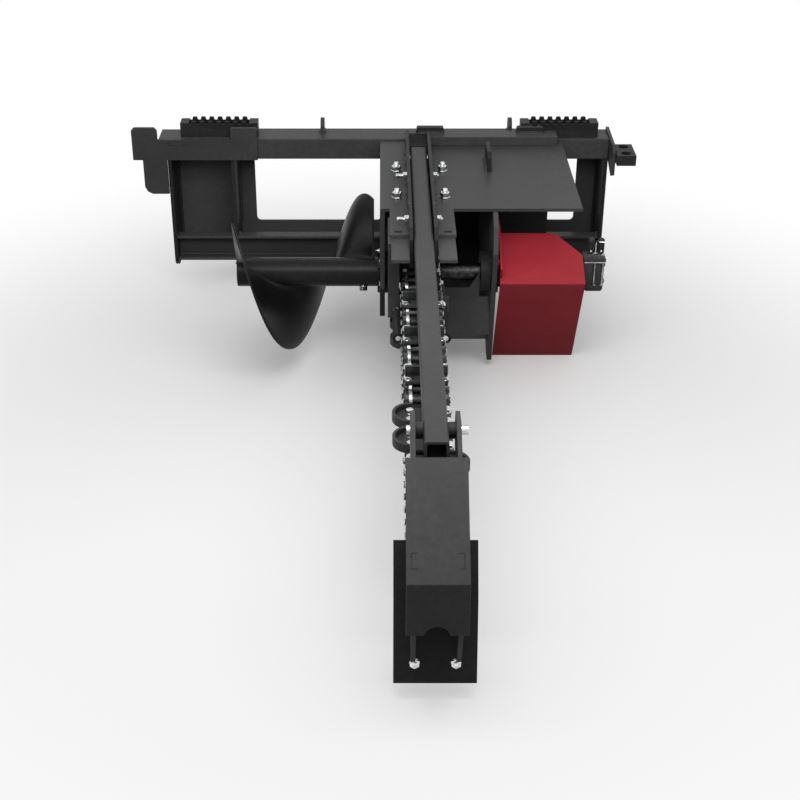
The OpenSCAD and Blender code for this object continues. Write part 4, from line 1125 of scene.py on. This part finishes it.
def buildMotorPorts():
    bm = bmesh.new()
    bright = bmesh.new()
    for points in islandsOf("motor_ports"):
        lowest, highest = boxOf(points)
        foot = Vector(((lowest.x + highest.x) / 2, (lowest.y + highest.y) / 2, lowest.z))
        radius = (highest.x - lowest.x) / 2 / mm
        # a hose end: hexagon, swaged sleeve with rings, and a rounded cap
        hexagon(bright, foot, up, radius * hose["nutShare"], hose["nut"], True)
        outer = radius - 0.3
        sleeve = [(0, 6.5), (radius - 2, 6.5), (radius - 2, 10), (outer, 11.5)]
        for k in range(hose["rings"]):
            z = hose["firstRing"] + k * hose["ringPitch"]
            sleeve += [(outer, z), (outer - 1, z + 1.5), (outer, z + 3)]
        sleeve += [(outer, 46), (radius - 1.5, 50), (radius - 4, 52.4), (0, 53)]
        turn(bm, foot, up, sleeve, 32)
        # a small bright zinc dome on the sleeve's front, a painted highlight
        dot = foot + Vector((0, -radius + 0.6, hose["paintedGlintHeight"])) * mm
        r = hose["paintedGlintRadius"]
        turn(bright, dot, front, [(0, 0), (r, 0), (r, r / 2), (r / 2, 2.2), (0, 2.3)], 16)
    closePiece(bm, "hose_ends", "carriage", motorCoat, "motor_ports", 35)

    # a thin drain line bent over between the two hose ends
    x, top = hose["drainX"], hose["drainTop"]
    path = [Vector((x, shaftY, hose["drainFoot"] + 3)), Vector((x, shaftY, top - 3)),
            Vector((x + 1.2, shaftY, top)), Vector((x + 3.6, shaftY - 6, top + 2)),
            Vector((x + 7.6, shaftY - 12, top + 3)), Vector((hose["drainEnd"], shaftY - 14, top + 3))]
    hexagon(bright, Vector((x, shaftY, hose["drainFoot"])) * mm, up, 8, 8, True)
    roundLine(bright, path, hose["drainRadius"])
    closePiece(bright, "motor_fittings", "carriage", zincPlate, None, 35)


guard = {
    "bendY": -0.776, "bendZ": 0.028,    # metres, the corner between the guard's top and front
    "near": 0.0015, "leastLength": 0.15,
    "bendRadius": 7, "edge": 0.9,
}


def isBend(edge):
    spots = [vert.co for vert in edge.verts]
    onLine = all(abs(p.y - guard["bendY"]) < guard["near"] and abs(p.z - guard["bendZ"]) < guard["near"]
                 for p in spots)
    return onLine and edge.calc_length() > guard["leastLength"]


def buildGuard():
    # the guard sheet again, bent to a real inner radius
    bm = cleanCopy("motor_guard")
    bends = [edge for edge in bm.edges if isBend(edge)]
    bmesh.ops.bevel(bm, geom=bends, offset=guard["bendRadius"] * mm, segments=6, profile=0.5,
                    affect="EDGES")
    piece = closePiece(bm, "motor_guard_sheet", "carriage", redCoat, "motor_guard", 25)
    roundEdges(piece, guard["edge"], 40)


buildMotor()
buildMotorPorts()
buildGuard()
print("motor and guard built")

# small forms: knuckles on the ears, dressed seams on the tabs, grease fittings, pin heads

knuckle = {"radius": 8, "width": 10, "out": 34, "height": 256, "places": (-387, -586, -760)}


def buildKnuckles():
    bm = bmesh.new()
    r, width = knuckle["radius"], knuckle["width"]
    profile = [(0, 0), (r - 0.8, 0), (r, 0.8), (r, width - 0.8), (r - 0.8, width), (0, width)]
    for y in knuckle["places"]:
        for side in (-1, 1):
            spot = Vector((boomX + side * knuckle["out"] - width / 2, y, knuckle["height"])) * mm
            turn(bm, spot, right, profile, 28)
    closePiece(bm, "ear_knuckles", "carriage", blackCoat, None, 35)


seam = {"width": 2.4, "proud": 0.5, "sunk": 0.3}
bracketTab = {
    "top": (-2146.9, 87.7),             # Y and Z of the tabs' upper end
    "slope": (0, -202, -166), "normal": (0, -0.635, 0.773),
    "length": 32,
    "sides": ((40, 52), (144, 132)),    # X of each tab's outer and inner edge
}
lugLow, lugHigh = span("lug_plate_left")
lugTab = {"left": -683, "right": -622, "low": 213, "high": 224, "face": lugLow[1]}


def seamLine(bm, start, end, normal):
    # a thin dressed seam that stands just proud of its plate
    a, b, outward = Vector(start), Vector(end), Vector(normal).normalized()
    side = (b - a).normalized().cross(outward) * seam["width"] / 2
    outline = [a - side, a + side, b + side, b - side]
    lower = [bm.verts.new((p - outward * seam["sunk"]) * mm) for p in outline]
    upper = [bm.verts.new((p + outward * seam["proud"]) * mm) for p in outline]
    loft(bm, [lower, upper])


def buildTabSeams():
    # the side plates' tabs come through the bracket's top, so three sides of each show
    bm = bmesh.new()
    slope = Vector(bracketTab["slope"]).normalized()
    for outer, inner in bracketTab["sides"]:
        near = Vector((outer, *bracketTab["top"]))
        far = near + slope * bracketTab["length"]
        across = Vector((inner - outer, 0, 0))
        for begin, finish in ((near, far), (near, near + across), (far, far + across)):
            seamLine(bm, begin, finish, bracketTab["normal"])
    closePiece(bm, "bracket_tab_seams", "crumber", darkCoat, None, 50)
    bm = bmesh.new()
    near, far, face = lugTab["left"], lugTab["right"], lugTab["face"]
    low, high = lugTab["low"], lugTab["high"]
    corners = [(near, face, low), (far, face, low), (far, face, high), (near, face, high)]
    for k in range(4):
        seamLine(bm, corners[k], corners[(k + 1) % 4], front)
    closePiece(bm, "lug_tab_seams", "frame", darkCoat, None, 50)


leftLow, leftHigh = span("housing_plate_left")
rightLow, rightHigh = span("housing_plate_right")
grease = {
    "places": ((leftLow[0], left), (rightHigh[0], right)),
    "above": 66,            # over the shaft's axis
    "across": 9, "hexHeight": 4,
}


def buildGreaseFittings():
    bm = bmesh.new()
    nipple = [(0, 0), (2.6, 0), (2.6, 3), (1.7, 4), (2.4, 5.5), (1.4, 7.5), (0, 7.8)]
    for x, outward in grease["places"]:
        spot = Vector((x, shaftY, shaftZ + grease["above"])) * mm
        axis = Vector(outward)
        hexagon(bm, spot, axis, grease["across"], grease["hexHeight"], True)
        turn(bm, spot + axis * grease["hexHeight"] * mm, axis, nipple, 16)
    closePiece(bm, "grease_fittings", "carriage", zincPlate, None, 35)


pinHead = {
    "out": 54.2,            # from the chain's middle to the face of the outer link
    "profile": ((0, 0), (7.8, 0), (7.4, 0.9), (5.6, 1.7), (3, 2.0), (1.6, 1.5), (0, 1.2)),
}


def buildPinHeads():
    # the chain's pins are riveted over, so each end is a low dome with a dimple
    bm = bmesh.new()
    for points in islandsOf("chain_rollers"):
        lowest, highest = boxOf(points)
        middle = (lowest + highest) / 2
        for side, outward in ((-1, left), (1, right)):
            face = Vector(((chainX + side * pinHead["out"]) * mm, middle.y, middle.z))
            turn(bm, face, outward, pinHead["profile"], 20)
    closePiece(bm, "chain_pin_heads", "carriage", brightSteel, None, 40)


buildKnuckles()
buildPinHeads()
buildTabSeams()
buildGreaseFittings()
print("small forms built")
